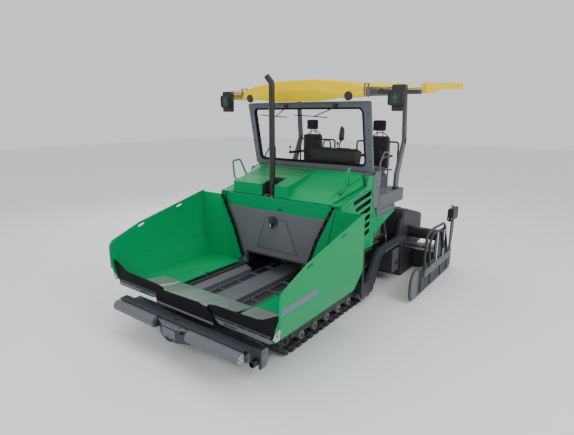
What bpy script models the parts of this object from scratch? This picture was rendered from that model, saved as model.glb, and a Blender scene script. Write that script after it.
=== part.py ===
"""Asphalt paver on tracks, with folding hopper wings and a telescopic screed.

Units are metres, +Z up. Stations are distances behind a datum plane just
ahead of the push rollers; at() turns a station into world Y, so that the
model's origin lies on the ground under the middle of the whole machine.
The machine faces -Y, and its left side is +X.
"""

import math

import bmesh
import bpy
from mathutils import Matrix, Vector

# ---- Named clearances -------------------------------------------------
TOUCH = 0.0003          # between pieces that rest face to face
RUN = 0.008             # between pieces that move past each other

# ---- Overall machine --------------------------------------------------
ROLLER_STATION = 0.215
ROLLER_RADIUS = 0.078
FRONT_END = ROLLER_STATION - ROLLER_RADIUS
REAR_END = 6.05
MIDDLE = (FRONT_END + REAR_END) / 2

# ---- Chassis and conveyor ---------------------------------------------
CHASSIS_HALF = 0.66
CHASSIS_PLATE = 0.04
CHASSIS_FRONT = 0.60
CHASSIS_REAR = 4.35
CHASSIS_BOTTOM = 0.20
DECK_TOP = 0.95
DECK_PLATE = 0.03
SILL_TOP = 0.59
CONVEYOR_FLOOR = 0.40
CONVEYOR_FRONT = 1.04
SLAT_PITCH = 0.41
DIVIDER_HALF = 0.19
DIVIDER_TOP = 0.50
TUNNEL_HALF = 0.60
TUNNEL_TOP = 0.80

# ---- Tracks -------------------------------------------------------------
TRACK_INNER = 0.875
TRACK_WIDTH = 0.305
IDLER_STATION = 1.22
IDLER_RADIUS = 0.20
SPROCKET_STATION = 3.52
SPROCKET_RADIUS = 0.25
BELT = 0.035
SHOE = 0.025
SHOE_COUNT = 40

# ---- Hopper ---------------------------------------------------------------
HOPPER_HALF = 1.63
PLATE = 0.02
HINGE_X = 0.72
HINGE_Z = 0.62
HINGE_STATIONS = (0.75, 1.45, 2.20)
PIN = 0.015
WING_FRONT = 0.40
WING_REAR = 2.35
BEVEL_X = 1.50
BEVEL_TOP = 0.94
WING_TOP_REAR = 1.78
WING_TOP_FRONT = 1.18
LIP_STATION = 0.4603
FLAP = 0.02
FLAP_INNER = 0.42

# ---- Hopper rear wall and engine housing ---------------------------------
WALL_STATION = 2.36
WALL_TOP = 1.575
BODY_FRONT = 2.40
BODY_HALF = 1.205
SKIN = 0.025
HOOD_FRONT_HALF = 1.03
HOOD_REAR_HALF = 1.165
HOOD_REAR = 3.26
HOOD_LOW_FRONT = 1.81
HOOD_LOW_REAR = 2.02
HOOD_TOP_FRONT = 2.005
HOOD_TOP_REAR = 2.20
COWL_FRONT = 3.285
HOOD_PIN = 0.008
HOOD_PIVOT = (COWL_FRONT - HOOD_PIN - TOUCH, 2.186)
STACK_X = -0.16
STACK_STATION = 2.53
STACK_RADIUS = 0.048
STACK_TOP = 3.60
DOOR_PIVOT_STATION = 3.53
DOOR_PIN = 0.006

# ---- Operator's stand ----------------------------------------------------
STAND_FRONT = 3.36
STAND_REAR = 4.72
STAND_HALF = 1.24
FLOOR_TOP = 1.79
FLOOR_BOTTOM = 1.56
COWL_TOP = 2.195
FRAME_HALF = 1.23
FRAME_LEAN = math.radians(11.1)
FRAME_HEIGHT = 1.14
FRAME_THICK = 0.05
FRAME_STATION = 3.395
SEAT_X = {"left": 0.88, "right": -0.55}
SEAT_STATION = 4.05
SEAT_HALF = 0.22

# ---- Roof ---------------------------------------------------------------
ROOF_LEAN = math.radians(2.3)
ROOF_FRONT = 2.97
ROOF_REAR = 5.46
ROOF_HALF = 1.205
ROOF_Z = 3.45
AWNING_LOW = 3.475
AWNING_THICK = 0.03
AWNING_FRONT = 3.50
AWNING_REAR = 5.39
AWNING_INNER = 0.73
AWNING_OUTER = 1.97

# ---- Screed ----------------------------------------------------------------
TOW_STATION = 3.33
TOW_Z = 0.30
ARM_INNER = 1.20
ARM_THICK = 0.06
AUGER_STATION = 4.56
AUGER_Z = 0.36
AUGER_RADIUS = 0.17
AUGER_HALF = 1.19
AUGER_PITCH = 0.28
SCREED_HALF = 1.25
SCREED_FRONT = 4.78
SCREED_REAR = 5.46
SCREED_COVER_REAR = 5.80
MOULD_TOP = 0.40
COVER_LOW = 0.50
EXTENSION_INNER = 0.62
EXTENSION_OUTER = 1.865
EXTENSION_REAR = 5.93
GATE = 0.02
SLIDE_TUBE = {1: (5.12, 0.86, 0.11), -1: (5.38, 0.86, 0.11)}
SLIDE_RODS = {
    1: ((4.95, 0.68, 0.018), (4.95, 0.585, 0.018)),
    -1: ((4.89, 0.68, 0.018), (4.89, 0.585, 0.018)),
}
TUBE_INNER = 0.40
BORE_INNER = -0.20
LIFT_TOP = (4.02, 1.34)
LIFT_EYE = (4.25, 0.90)
LIFT_X = 1.165


def at(station):
    """World Y of a station."""
    return station - MIDDLE


# ---- Scene and materials ---------------------------------------------------
def clear_scene():
    for thing in list(bpy.data.objects):
        bpy.data.objects.remove(thing)


def new_collection(name):
    collection = bpy.data.collections.new(name)
    bpy.context.scene.collection.children.link(collection)
    return collection


def make_material(name, colour, roughness, metallic=0.0, alpha=1.0):
    material = bpy.data.materials.new(name)
    material.use_nodes = True
    shader = material.node_tree.nodes["Principled BSDF"]
    shader.inputs["Base Color"].default_value = (*colour, 1.0)
    shader.inputs["Roughness"].default_value = roughness
    shader.inputs["Metallic"].default_value = metallic
    shader.inputs["Alpha"].default_value = alpha
    return material


clear_scene()
PARTS = new_collection("asphalt_paver")
CUTTERS = new_collection("cutters")
GREEN = make_material("green_paint", (0.0, 0.30, 0.12), 0.35)
GREY = make_material("grey_paint", (0.14, 0.15, 0.17), 0.45)
DARK = make_material("dark_paint", (0.045, 0.047, 0.05), 0.5)
YELLOW = make_material("yellow_shell", (0.90, 0.60, 0.02), 0.35)
RUBBER = make_material("black_rubber", (0.012, 0.012, 0.012), 0.8)
PLASTIC = make_material("black_plastic", (0.01, 0.01, 0.011), 0.5)
STEEL = make_material("bare_steel", (0.45, 0.46, 0.48), 0.3, 1.0)
GLASS = make_material("clear_glass", (0.8, 0.9, 0.9), 0.05, 0.0, 0.25)
CLOTH = make_material("seat_cloth", (0.01, 0.01, 0.012), 0.85)


# ---- Shape helpers -----------------------------------------------------------
def new_object(mesh, collection=CUTTERS):
    thing = bpy.data.objects.new(mesh.name, mesh)
    collection.objects.link(thing)
    return thing


def box(x0, x1, s0, s1, z0, z1):
    """A box between two X values, two stations and two heights."""
    mesh = bpy.data.meshes.new("box")
    shape = bmesh.new()
    bmesh.ops.create_cube(shape, size=1.0)
    size = Matrix.Diagonal((abs(x1 - x0), s1 - s0, z1 - z0, 1.0))
    middle = Vector(((x0 + x1) / 2, at((s0 + s1) / 2), (z0 + z1) / 2))
    bmesh.ops.transform(shape, matrix=Matrix.Translation(middle) @ size, verts=shape.verts)
    shape.to_mesh(mesh)
    shape.free()
    return new_object(mesh)


def rod(start, end, radius, segments=16):
    """A cylinder between two (x, station, z) points."""
    mesh = bpy.data.meshes.new("rod")
    first = Vector((start[0], at(start[1]), start[2]))
    last = Vector((end[0], at(end[1]), end[2]))
    along = last - first
    shape = bmesh.new()
    bmesh.ops.create_cone(
        shape,
        cap_ends=True,
        segments=segments,
        radius1=radius,
        radius2=radius,
        depth=along.length,
    )
    turn = along.to_track_quat("Z", "Y").to_matrix().to_4x4()
    middle = Matrix.Translation((first + last) / 2)
    bmesh.ops.transform(shape, matrix=middle @ turn, verts=shape.verts)
    shape.to_mesh(mesh)
    shape.free()
    mesh.shade_smooth()
    mesh.set_sharp_from_angle(angle=math.radians(35))
    return new_object(mesh)


def mesh_of(curve_object):
    """A curve object made into a closed mesh object."""
    graph = bpy.context.evaluated_depsgraph_get()
    mesh = bpy.data.meshes.new_from_object(curve_object.evaluated_get(graph))
    mesh.transform(curve_object.matrix_basis)
    shape = bmesh.new()
    shape.from_mesh(mesh)
    bmesh.ops.remove_doubles(shape, verts=shape.verts, dist=0.00005)
    shape.to_mesh(mesh)
    shape.free()
    bpy.data.objects.remove(curve_object)
    return new_object(mesh)


def plate(outlines, low, high, frame):
    """Outlines in a plane, extruded from low to high along the plane's normal."""
    curve = bpy.data.curves.new("plate", "CURVE")
    curve.dimensions = "2D"
    curve.fill_mode = "BOTH"
    curve.extrude = (high - low) / 2
    for outline in outlines:
        spline = curve.splines.new("POLY")
        spline.points.add(len(outline) - 1)
        spline.use_cyclic_u = True
        for point, place in zip(spline.points, outline):
            point.co = (place[0], place[1], 0.0, 1.0)
    thing = bpy.data.objects.new("plate", curve)
    CUTTERS.objects.link(thing)
    thing.matrix_basis = frame @ Matrix.Translation((0.0, 0.0, (low + high) / 2))
    return mesh_of(thing)


SIDE_FRAME = Matrix(((0, 0, 1, 0), (1, 0, 0, -MIDDLE), (0, 1, 0, 0), (0, 0, 0, 1)))
FRONT_FRAME = Matrix(((1, 0, 0, 0), (0, 0, -1, -MIDDLE), (0, 1, 0, 0), (0, 0, 0, 1)))
TOP_FRAME = Matrix.Translation((0.0, -MIDDLE, 0.0))


def side_plate(outline, x0, x1, *holes):
    """An outline of (station, z) points between two X values."""
    return plate([outline, *holes], min(x0, x1), max(x0, x1), SIDE_FRAME)


def front_plate(outline, s0, s1, *holes):
    """An outline of (x, z) points between two stations."""
    return plate([outline, *holes], -s1, -s0, FRONT_FRAME)


def top_plate(outline, z0, z1, *holes):
    """An outline of (x, station) points between two heights."""
    return plate([outline, *holes], z0, z1, TOP_FRAME)


def fillet(points, radius, steps=4, closed=False):
    """A path with its corners rounded to arcs of one radius."""
    path = []
    count = len(points)
    for i, place in enumerate(points):
        here = Vector(place)
        if not closed and i in (0, count - 1):
            path.append(tuple(here))
            continue
        back = (Vector(points[i - 1]) - here).normalized()
        ahead = (Vector(points[(i + 1) % count]) - here).normalized()
        half = back.angle(ahead) / 2
        centre = here + (back + ahead).normalized() * (radius / math.sin(half))
        first = here + back * (radius / math.tan(half)) - centre
        last = here + ahead * (radius / math.tan(half)) - centre
        sweep = math.pi - 2 * half
        for step in range(steps + 1):
            part = step / steps
            weight = math.sin(sweep)
            turned = first * (math.sin((1 - part) * sweep) / weight)
            turned += last * (math.sin(part * sweep) / weight)
            path.append(tuple(centre + turned))
    return path


def tube(points, radius, bend=0.08, sides=2):
    """A round tube along (x, station, z) points with bent corners."""
    curve = bpy.data.curves.new("tube", "CURVE")
    curve.dimensions = "3D"
    curve.bevel_depth = radius
    curve.bevel_resolution = sides
    curve.use_fill_caps = True
    spline = curve.splines.new("POLY")
    path = fillet(points, bend) if bend else points
    spline.points.add(len(path) - 1)
    for point, place in zip(spline.points, path):
        point.co = (place[0], at(place[1]), place[2], 1.0)
    thing = bpy.data.objects.new("tube", curve)
    CUTTERS.objects.link(thing)
    return mesh_of(thing)


def hull(points):
    """The convex body around (x, station, z) points."""
    mesh = bpy.data.meshes.new("hull")
    shape = bmesh.new()
    for x, station, z in points:
        shape.verts.new((x, at(station), z))
    bmesh.ops.convex_hull(shape, input=shape.verts)
    shape.to_mesh(mesh)
    shape.free()
    return new_object(mesh)


def combine(target, tool, operation):
    modifier = target.modifiers.new(operation.title(), "BOOLEAN")
    modifier.operation = operation
    modifier.solver = "EXACT"
    modifier.object = tool
    tool.hide_render = True
    tool.display_type = "WIRE"


def node(name, material, solids, cuts=(), pivot=None):
    """Names one piece, joined from its solids and then cut.

    pivot, an (x, station, z) point on the piece's joint axis, becomes its origin.
    """
    body = solids[0]
    CUTTERS.objects.unlink(body)
    PARTS.objects.link(body)
    for solid in solids[1:]:
        combine(body, solid, "UNION")
    for cutter in cuts:
        combine(body, cutter, "DIFFERENCE")
    body.name = name
    body.data.name = name
    body.data.materials.clear()
    body.data.materials.append(material)
    if pivot:
        origin = Vector((pivot[0], at(pivot[1]), pivot[2]))
        body.data.transform(Matrix.Translation(-origin))
        body.location = origin
    return body


def both_sides():
    return (("left", 1), ("right", -1))


def mirrored(outline, side):
    """An outline of (x, other) points put on one side of the machine."""
    return [(side * x, other) for x, other in outline]


# ---- Running gear -------------------------------------------------------------
IDLER = Vector((IDLER_STATION, IDLER_RADIUS + BELT + SHOE))
SPROCKET = Vector((SPROCKET_STATION, SPROCKET_RADIUS + BELT + SHOE))


def belt_stretches():
    """The belt's inner line as arcs and straight runs, from the ground run on."""
    span = SPROCKET - IDLER
    lean = math.atan2(span.y, span.x)
    open_angle = math.asin((SPROCKET_RADIUS - IDLER_RADIUS) / span.length)
    low = lean - math.pi / 2 - open_angle
    high = lean + math.pi / 2 + open_angle
    return low, high, span.length * math.cos(open_angle)


def belt_point(distance, height):
    """A point at some height over the belt's inner line, after some distance."""
    low, high, straight = belt_stretches()
    round_sprocket = SPROCKET_RADIUS * (high - low)
    round_idler = IDLER_RADIUS * (2 * math.pi - (high - low))
    total = 2 * straight + round_sprocket + round_idler
    d = distance % total
    if d < straight:
        out = Vector((math.cos(low), math.sin(low)))
        along = Vector((-out.y, out.x))
        return IDLER + out * (IDLER_RADIUS + height) + along * d
    d -= straight
    if d < round_sprocket:
        angle = low + d / SPROCKET_RADIUS
        out = Vector((math.cos(angle), math.sin(angle)))
        return SPROCKET + out * (SPROCKET_RADIUS + height)
    d -= round_sprocket
    if d < straight:
        out = Vector((math.cos(high), math.sin(high)))
        along = Vector((-out.y, out.x))
        return SPROCKET + out * (SPROCKET_RADIUS + height) + along * d
    d -= straight
    angle = high + d / IDLER_RADIUS
    out = Vector((math.cos(angle), math.sin(angle)))
    return IDLER + out * (IDLER_RADIUS + height)


def belt_length():
    low, high, straight = belt_stretches()
    turning = high - low
    return 2 * straight + SPROCKET_RADIUS * turning + IDLER_RADIUS * (2 * math.pi - turning)


def track(name, side):
    total = belt_length()
    pitch = total / SHOE_COUNT
    outer = []
    for i in range(SHOE_COUNT):
        for part, height in ((0.0, 0.0), (0.0, SHOE), (0.78, SHOE), (0.78, 0.0)):
            outer.append(belt_point((i + part) * pitch, BELT + height))
    inner = [belt_point(i * total / 120, 0.0) for i in range(120)]
    loop = side_plate(outer, side * TRACK_INNER, side * (TRACK_INNER + TRACK_WIDTH), inner)
    node(f"track_{name}", RUBBER, [loop])


def track_frame(name, side):
    middle = TRACK_INNER + TRACK_WIDTH / 2
    inner = side * (middle - 0.10)
    outer = side * (middle + 0.10)
    slack = 0.005
    roller = 0.07
    run = BELT + SHOE
    beam = box(inner, outer, IDLER_STATION - 0.05, SPROCKET_STATION + 0.05, 0.14, 0.33)
    solids = [beam]
    for station in (1.52, 1.86, 2.20, 2.54, 2.88, 3.19):
        axis = run + roller + 2 * TOUCH
        ends = (side * (middle - 0.09), side * (middle + 0.09))
        solids.append(rod((ends[0], station, axis), (ends[1], station, axis), roller, 16))
    for hub, radius in ((IDLER, IDLER_RADIUS), (SPROCKET, SPROCKET_RADIUS)):
        ends = (side * (middle - 0.095), side * (middle + 0.095))
        solids.append(rod((ends[0], *hub), (ends[1], *hub), radius - slack, 28))
    node(f"track_frame_{name}", DARK, solids)


def chassis_frame():
    """Side plates, conveyor floor and covers, tunnel roof, deck and cross boxes."""
    solids = [box(-CHASSIS_HALF, CHASSIS_HALF, CHASSIS_FRONT, CHASSIS_FRONT + 0.10, CHASSIS_BOTTOM, 0.48)]
    for side in (1, -1):
        inner = side * (CHASSIS_HALF - CHASSIS_PLATE)
        outer = side * CHASSIS_HALF
        outline = [
            (CHASSIS_FRONT + 0.02, CHASSIS_BOTTOM + 0.01),
            (CHASSIS_FRONT + 0.02, SILL_TOP),
            (WALL_STATION + PLATE, SILL_TOP),
            (WALL_STATION + PLATE, DECK_TOP - 0.01),
            (CHASSIS_REAR, DECK_TOP - 0.01),
            (CHASSIS_REAR, CHASSIS_BOTTOM + 0.01),
        ]
        solids.append(side_plate(outline, inner, outer))
        cover = [(0.50, 0.39), (0.50, 0.50), (0.645, 0.56), (0.645, 0.39)]
        solids.append(front_plate(mirrored(cover, side), CONVEYOR_FRONT, WALL_STATION - 0.01))
        for station in (1.70, 3.02):
            solids.append(box(side * 0.64, side * (TRACK_INNER + 0.0522), station, station + 0.18, 0.20, 0.32))
        for station in HINGE_STATIONS:
            lug = box(side * 0.65, side * (HINGE_X + 0.0085), station, station + 0.03, 0.50, HINGE_Z - RUN)
            ends = (station - 0.01, station + 0.04)
            hollow = rod((side * HINGE_X, ends[0], HINGE_Z), (side * HINGE_X, ends[1], HINGE_Z), PIN + TOUCH)
            combine(lug, hollow, "DIFFERENCE")
            solids.append(lug)
        guide = [(3.03, 0.16), (3.03, 0.948), (3.43, 0.948), (3.43, 0.16)]
        face = ARM_INNER + ARM_THICK
        solids.append(side_plate(guide, side * (face + 0.012), side * (face + 0.032)))
        pin = (side * (face + TOUCH), side * (face + 0.02))
        solids.append(rod((pin[0], TOW_STATION, TOW_Z), (pin[1], TOW_STATION, TOW_Z), 0.035, 16))
    reach = ARM_INNER + ARM_THICK + 0.03
    solids.append(box(-1.18, 1.18, WALL_STATION + PLATE, 3.85, DECK_TOP - DECK_PLATE, DECK_TOP))
    solids.append(box(-1.08, 1.08, 3.80, CHASSIS_REAR, DECK_TOP - DECK_PLATE - 0.001, DECK_TOP - 0.001))
    solids.append(box(-reach, reach, 3.04, 3.42, DECK_TOP - DECK_PLATE + 0.001, DECK_TOP - 0.002))
    solids.append(box(-0.63, 0.63, CONVEYOR_FRONT, CHASSIS_REAR - 0.01, CONVEYOR_FLOOR - 0.02, CONVEYOR_FLOOR))
    solids.append(box(-0.63, 0.63, CHASSIS_FRONT + 0.08, CHASSIS_REAR - 0.02, 0.22, 0.24))
    solids.append(box(-DIVIDER_HALF, DIVIDER_HALF, CONVEYOR_FRONT + 0.01, CHASSIS_REAR - 0.03, 0.39, DIVIDER_TOP))
    node("chassis_frame", DARK, solids)


def conveyor(name, side):
    """Two chains with bars between them, lying on the conveyor floor."""
    low = CONVEYOR_FLOOR + TOUCH
    first = CONVEYOR_FRONT + 0.03
    last = CHASSIS_REAR - 0.04
    chains = (DIVIDER_HALF + 0.012, 0.47)
    solids = []
    for x in chains:
        solids.append(box(side * x, side * (x + 0.02), first, last, low, low + 0.035))
    count = int((last - first) / SLAT_PITCH) + 1
    for i in range(count):
        station = first + 0.02 + i * SLAT_PITCH
        solids.append(box(side * 0.21, side * 0.48, station, station + 0.035, low + 0.005, low + 0.045))
    node(f"conveyor_{name}", STEEL, solids)


# ---- Front end --------------------------------------------------------------------
YOKE_LOW = 0.27


def push_beam():
    """The bumper beam under the hopper, with the pivot pin of the roller beam."""
    beam = box(-1.23, 1.23, 0.51, CHASSIS_FRONT - TOUCH, 0.20, 0.42)
    solids = [beam]
    for side in (1, -1):
        solids.append(box(side * 1.22, side * 1.25, 0.505, 0.62, 0.15, 0.41))
    solids.append(box(-0.10, 0.10, 0.26, 0.55, 0.225, YOKE_LOW - TOUCH))
    solids.append(rod((0, 0.31, 0.24), (0, 0.31, 0.475), 0.022, 16))
    node("push_beam", DARK, solids)


def push_roller_beam():
    yoke = [(-0.30, 0.245), (-0.12, 0.17), (0.12, 0.17), (0.30, 0.245), (0.30, 0.34), (-0.30, 0.34)]
    solids = [top_plate(yoke, YOKE_LOW, 0.46)]
    solids.append(box(-1.245, 1.245, 0.302, 0.335, 0.35, 0.47))
    for side in (1, -1):
        solids.append(box(side * 1.2253, side * 1.2453, 0.18, 0.33, 0.36, 0.465))
        solids.append(box(side * 0.29, side * 0.3147, 0.18, 0.33, 0.36, 0.455))
    lid = [(0.245, 0.503), (0.30, 0.512), (0.378, 0.513), (0.378, 0.501), (0.33, 0.499)]
    lid += [(0.33, 0.44), (0.31, 0.44), (0.31, 0.498)]
    solids.append(side_plate(lid, -1.22, 1.22))
    axis = (ROLLER_STATION, 0.42)
    cuts = [
        rod((-1.3, *axis), (1.3, *axis), 0.0206, 16),
        rod((0, 0.31, 0.2), (0, 0.31, 0.55), 0.028, 16),
    ]
    node("push_roller_beam", DARK, solids, cuts, pivot=(0, 0.31, 0.36))


def push_roller(name, side):
    axis = (ROLLER_STATION, 0.42)
    drum = rod((side * 0.325, *axis), (side * 1.215, *axis), ROLLER_RADIUS, 24)
    journal = rod((side * 0.292, *axis), (side * 1.243, *axis), 0.02, 16)
    node(f"push_roller_{name}", GREY, [drum, journal], pivot=(side * 0.77, *axis))


def apron_plate():
    """The fixed slope between the wings, its bracket and the flap's strip."""
    slope = [(0.515, 0.70), (0.515, 0.72), (1.02, 0.615), (1.02, 0.595)]
    solids = [side_plate(slope, -0.70, 0.70)]
    solids.append(box(-0.58, 0.58, 0.625, 0.645, 0.48 + TOUCH, 0.69))
    solids.append(box(-0.34, 0.34, 0.43, 0.53, 0.69, 0.71))
    solids.append(box(-0.35, 0.35, 0.425 + TOUCH, 0.445, 0.57, 0.72))
    node("apron_plate", GREY, solids)


def apron_flap():
    outline = [(-0.55, 0.56), (-0.55, 0.70), (-0.50, 0.78), (0.30, 0.80), (0.46, 0.76), (0.57, 0.66), (0.60, 0.56)]
    node("apron_flap", RUBBER, [front_plate(outline, 0.405, 0.425)])


# ---- Hopper -----------------------------------------------------------------------
def hopper_wing(name, side):
    """Floor, bevel and side wall in one folded section, with a rear wall and front rail."""
    section = [
        (HINGE_X + 0.012, HINGE_Z),
        (BEVEL_X - 0.012, HINGE_Z),
        (HOPPER_HALF - PLATE, BEVEL_TOP + 0.004),
        (HOPPER_HALF - PLATE, WING_TOP_REAR + 0.1),
        (HOPPER_HALF, WING_TOP_REAR + 0.1),
        (HOPPER_HALF, BEVEL_TOP),
        (BEVEL_X, HINGE_Z - PLATE),
        (HINGE_X + 0.012, HINGE_Z - PLATE),
    ]
    shell = front_plate(mirrored(section, side), WING_FRONT, WING_REAR)
    above = [
        (WING_FRONT - 0.1, WING_TOP_FRONT),
        (WING_FRONT, WING_TOP_FRONT),
        (0.44, 1.245),
        (0.52, 1.285),
        (0.95, 1.45),
        (WING_REAR - 0.01, WING_TOP_REAR),
        (WING_REAR + 0.1, WING_TOP_REAR),
        (WING_REAR + 0.1, WING_TOP_REAR + 0.2),
        (WING_FRONT - 0.1, WING_TOP_REAR + 0.2),
    ]
    ahead = [
        (WING_FRONT - 0.1, HINGE_Z - 0.1),
        (0.49, HINGE_Z - 0.1),
        (0.465, 0.64),
        (WING_FRONT, 0.80),
        (WING_FRONT - 0.1, 0.80),
    ]
    cutters = [
        side_plate(above, side * 0.6, side * 1.8),
        side_plate(ahead, side * 0.6, side * 1.8),
    ]
    for cutter in cutters:
        combine(shell, cutter, "DIFFERENCE")
    rear = [
        (HINGE_X + 0.02, HINGE_Z - 0.01),
        (BEVEL_X - 0.005, HINGE_Z - 0.01),
        (HOPPER_HALF - 0.01, BEVEL_TOP),
        (HOPPER_HALF - 0.01, 1.76),
        (1.12, 1.76),
        (0.80, HINGE_Z + 0.02),
    ]
    solids = [shell, front_plate(mirrored(rear, side), WING_REAR - 0.03, WING_REAR - 0.01)]
    rail = [(FLAP_INNER + 0.02, 0.66), (0.62, 0.595), (1.47, 0.59), (1.49, 0.68), (0.46, 0.72)]
    solids.append(front_plate(mirrored(rail, side), LIP_STATION, LIP_STATION + 0.02))
    solids.append(wing_slope(side))
    ends = (HINGE_STATIONS[0] - 0.01, HINGE_STATIONS[-1] + 0.04)
    solids.append(rod((side * HINGE_X, ends[0], HINGE_Z), (side * HINGE_X, ends[1], HINGE_Z), PIN))
    node(f"hopper_wing_{name}", GREEN, solids, pivot=(side * HINGE_X, 1.4, HINGE_Z))


def wing_slope(side):
    """The wedge at the wing's front, leaning away from the hinge so that it folds freely."""
    front = LIP_STATION + 0.015
    corners = []
    for x, station, z in (
        (HINGE_X + 0.02, front, 0.61),
        (HINGE_X + 0.105, front, 0.71),
        (1.15, front, 0.71),
        (1.15, front, 0.61),
        (HINGE_X + 0.02, 1.02, 0.61),
        (HINGE_X + 0.03, 1.02, 0.63),
        (1.15, 1.02, 0.63),
        (1.15, 1.02, 0.61),
    ):
        corners.append((side * x, station, z))
    return hull(corners)


def wing_flap(name, side):
    outline = [
        (FLAP_INNER, 0.70),
        (FLAP_INNER + 0.03, 0.80),
        (0.60, 0.82),
        (1.24, 0.835),
        (1.34, 0.855),
        (1.52, 0.95),
        (1.60, 0.975),
        (1.60, 0.935),
        (1.485, 0.632),
        (0.66, 0.632),
    ]
    flap = front_plate(mirrored(outline, side), LIP_STATION - TOUCH - FLAP, LIP_STATION - TOUCH)
    node(f"wing_flap_{name}", RUBBER, [flap], pivot=(side * HINGE_X, LIP_STATION, HINGE_Z))


def hopper_rear_wall():
    outline = [
        (-1.05, HINGE_Z),
        (-1.05, WALL_TOP),
        (1.05, WALL_TOP),
        (1.05, HINGE_Z),
        (0.70, HINGE_Z - 0.005),
        (0.70, SILL_TOP + TOUCH),
        (TUNNEL_HALF, SILL_TOP + 2 * TOUCH),
        (TUNNEL_HALF, TUNNEL_TOP),
        (-TUNNEL_HALF, TUNNEL_TOP),
        (-TUNNEL_HALF, SILL_TOP + 2 * TOUCH),
        (-0.70, SILL_TOP + TOUCH),
        (-0.70, HINGE_Z - 0.005),
    ]
    wall = front_plate(outline, WALL_STATION, WALL_STATION + PLATE - TOUCH)
    hatch = [(-0.40, 0.92), (-0.20, 1.46), (0.20, 1.46), (0.40, 0.92)]
    lid = front_plate(hatch, WALL_STATION - 0.004, WALL_STATION + 0.01)
    node("hopper_rear_wall", GREY, [wall, lid])


# ---- Engine housing -------------------------------------------------------------
def engine_block():
    node("engine_block", DARK, [box(-0.45, 0.45, 2.62, 3.22, DECK_TOP + TOUCH, 1.68)])


def front_valance():
    outline = [(-1.05, 1.50), (1.05, 1.50), (1.08, 1.70), (1.04, 1.80), (-1.04, 1.80), (-1.08, 1.70)]
    band = front_plate(outline, WALL_STATION + PLATE, BODY_FRONT)
    ledge = box(STACK_X - 0.11, STACK_X + 0.11, BODY_FRONT - 0.005, STACK_STATION + 0.08, 1.75, 1.77)
    node("front_valance", GREEN, [band, ledge])


def hood_form(inset, drop):
    """The hood's outer form, or its inner one when it is inset and dropped."""
    front_half = HOOD_FRONT_HALF - inset
    rear_half = HOOD_REAR_HALF - inset
    front = BODY_FRONT + 0.005 + inset
    rear = HOOD_REAR - inset
    corners = []
    for side in (1, -1):
        corners.append((side * front_half, front, HOOD_LOW_FRONT - drop))
        corners.append((side * rear_half, rear, HOOD_LOW_REAR - drop))
        corners.append((side * (rear_half - 0.07), rear, HOOD_TOP_REAR - inset))
        corners.append((side * (front_half - 0.08), front + 0.16, 1.955 - inset))
    block = []
    for x in (-0.92 + inset, 0.245 - inset):
        block.append((x, front, HOOD_LOW_FRONT - drop))
        block.append((x, front, HOOD_TOP_FRONT - inset))
        block.append((x, rear, HOOD_TOP_REAR - inset))
        block.append((x, rear, HOOD_LOW_REAR - drop))
    return hull(corners), hull(block)


def engine_hood():
    outer, block = hood_form(0.0, 0.0)
    inner, inner_block = hood_form(SKIN, 0.12)
    slot = box(-0.285, -0.02, BODY_FRONT - 0.05, STACK_STATION + 0.22, 1.7, 2.3)
    solids = [outer, block]
    for side in (1, -1):
        loop = [
            (side * 1.04, 2.66, 1.93),
            (side * 1.14, 2.66, 2.02),
            (side * 1.17, 2.66, 2.31),
            (side * 1.10, 2.80, 2.31),
            (side * 1.06, 2.86, 2.02),
        ]
        solids.append(tube(loop, 0.014, 0.035))
    solids.append(rod((-0.9, *HOOD_PIVOT), (0.9, *HOOD_PIVOT), HOOD_PIN, 12))
    solids.append(box(-0.88, 0.88, HOOD_REAR - 0.01, HOOD_PIVOT[0], HOOD_PIVOT[1] - 0.004, HOOD_PIVOT[1] + 0.004))
    pivot = (0, *HOOD_PIVOT)
    node("engine_hood", GREEN, solids, [inner, inner_block, slot], pivot)


def exhaust_pipe():
    route = [
        (STACK_X, STACK_STATION, 1.77 + TOUCH),
        (STACK_X, STACK_STATION, STACK_TOP),
        (STACK_X - 0.10, STACK_STATION, STACK_TOP + 0.11),
    ]
    node("exhaust_pipe", DARK, [tube(route, STACK_RADIUS, 0.07, 4)])


DOOR_OUTLINE = [
    (2.50, 1.02),
    (2.50, 1.765),
    (3.12, 1.925),
    (3.36, 1.925),
    (3.42, 1.80),
    (3.50, 1.48),
    (3.36, 1.02),
]


def grown(outline, gap):
    """A convex outline moved outward by a gap."""
    centre = Vector((0.0, 0.0))
    for place in outline:
        centre += Vector(place) / len(outline)
    result = []
    count = len(outline)
    for i in range(count):
        here = Vector(outline[i])
        back = (here - Vector(outline[i - 1])).normalized()
        ahead = (Vector(outline[(i + 1) % count]) - here).normalized()
        first = Vector((-back.y, back.x))
        second = Vector((-ahead.y, ahead.x))
        if first.dot(here - centre) < 0:
            first.negate()
            second.negate()
        corner = (first + second) / (1 + first.dot(second))
        result.append(tuple(here + corner * gap))
    return result


def engine_door(name, side):
    cuts = []
    for i in range(6):
        low = 1.20 + i * 0.105
        slant = [(2.78 + 0.04 * i, low), (3.22 + 0.02 * i, low + 0.07), (3.24 + 0.02 * i, low + 0.12), (2.78 + 0.04 * i, low + 0.045)]
        cuts.append(side_plate(slant, side * (BODY_HALF - 0.05), side * (BODY_HALF + 0.1)))
    door = side_plate(DOOR_OUTLINE, side * BODY_HALF, side * (BODY_HALF + SKIN))
    face = BODY_HALF + SKIN
    x = side * (face + DOOR_PIN + TOUCH)
    s = DOOR_PIVOT_STATION
    solids = [door, rod((x, s, 1.44), (x, s, 1.52), DOOR_PIN, 12)]
    solids.append(box(side * (face + 2 * TOUCH), x + side * 0.004, s - 0.075, s + 0.001, 1.445, 1.515))
    solids.append(box(side * (face - 0.008), x + side * 0.003, s - 0.07, s - 0.045, 1.45, 1.51))
    node(f"engine_door_{name}", GREEN, solids, cuts, (x, s, 1.4))


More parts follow.
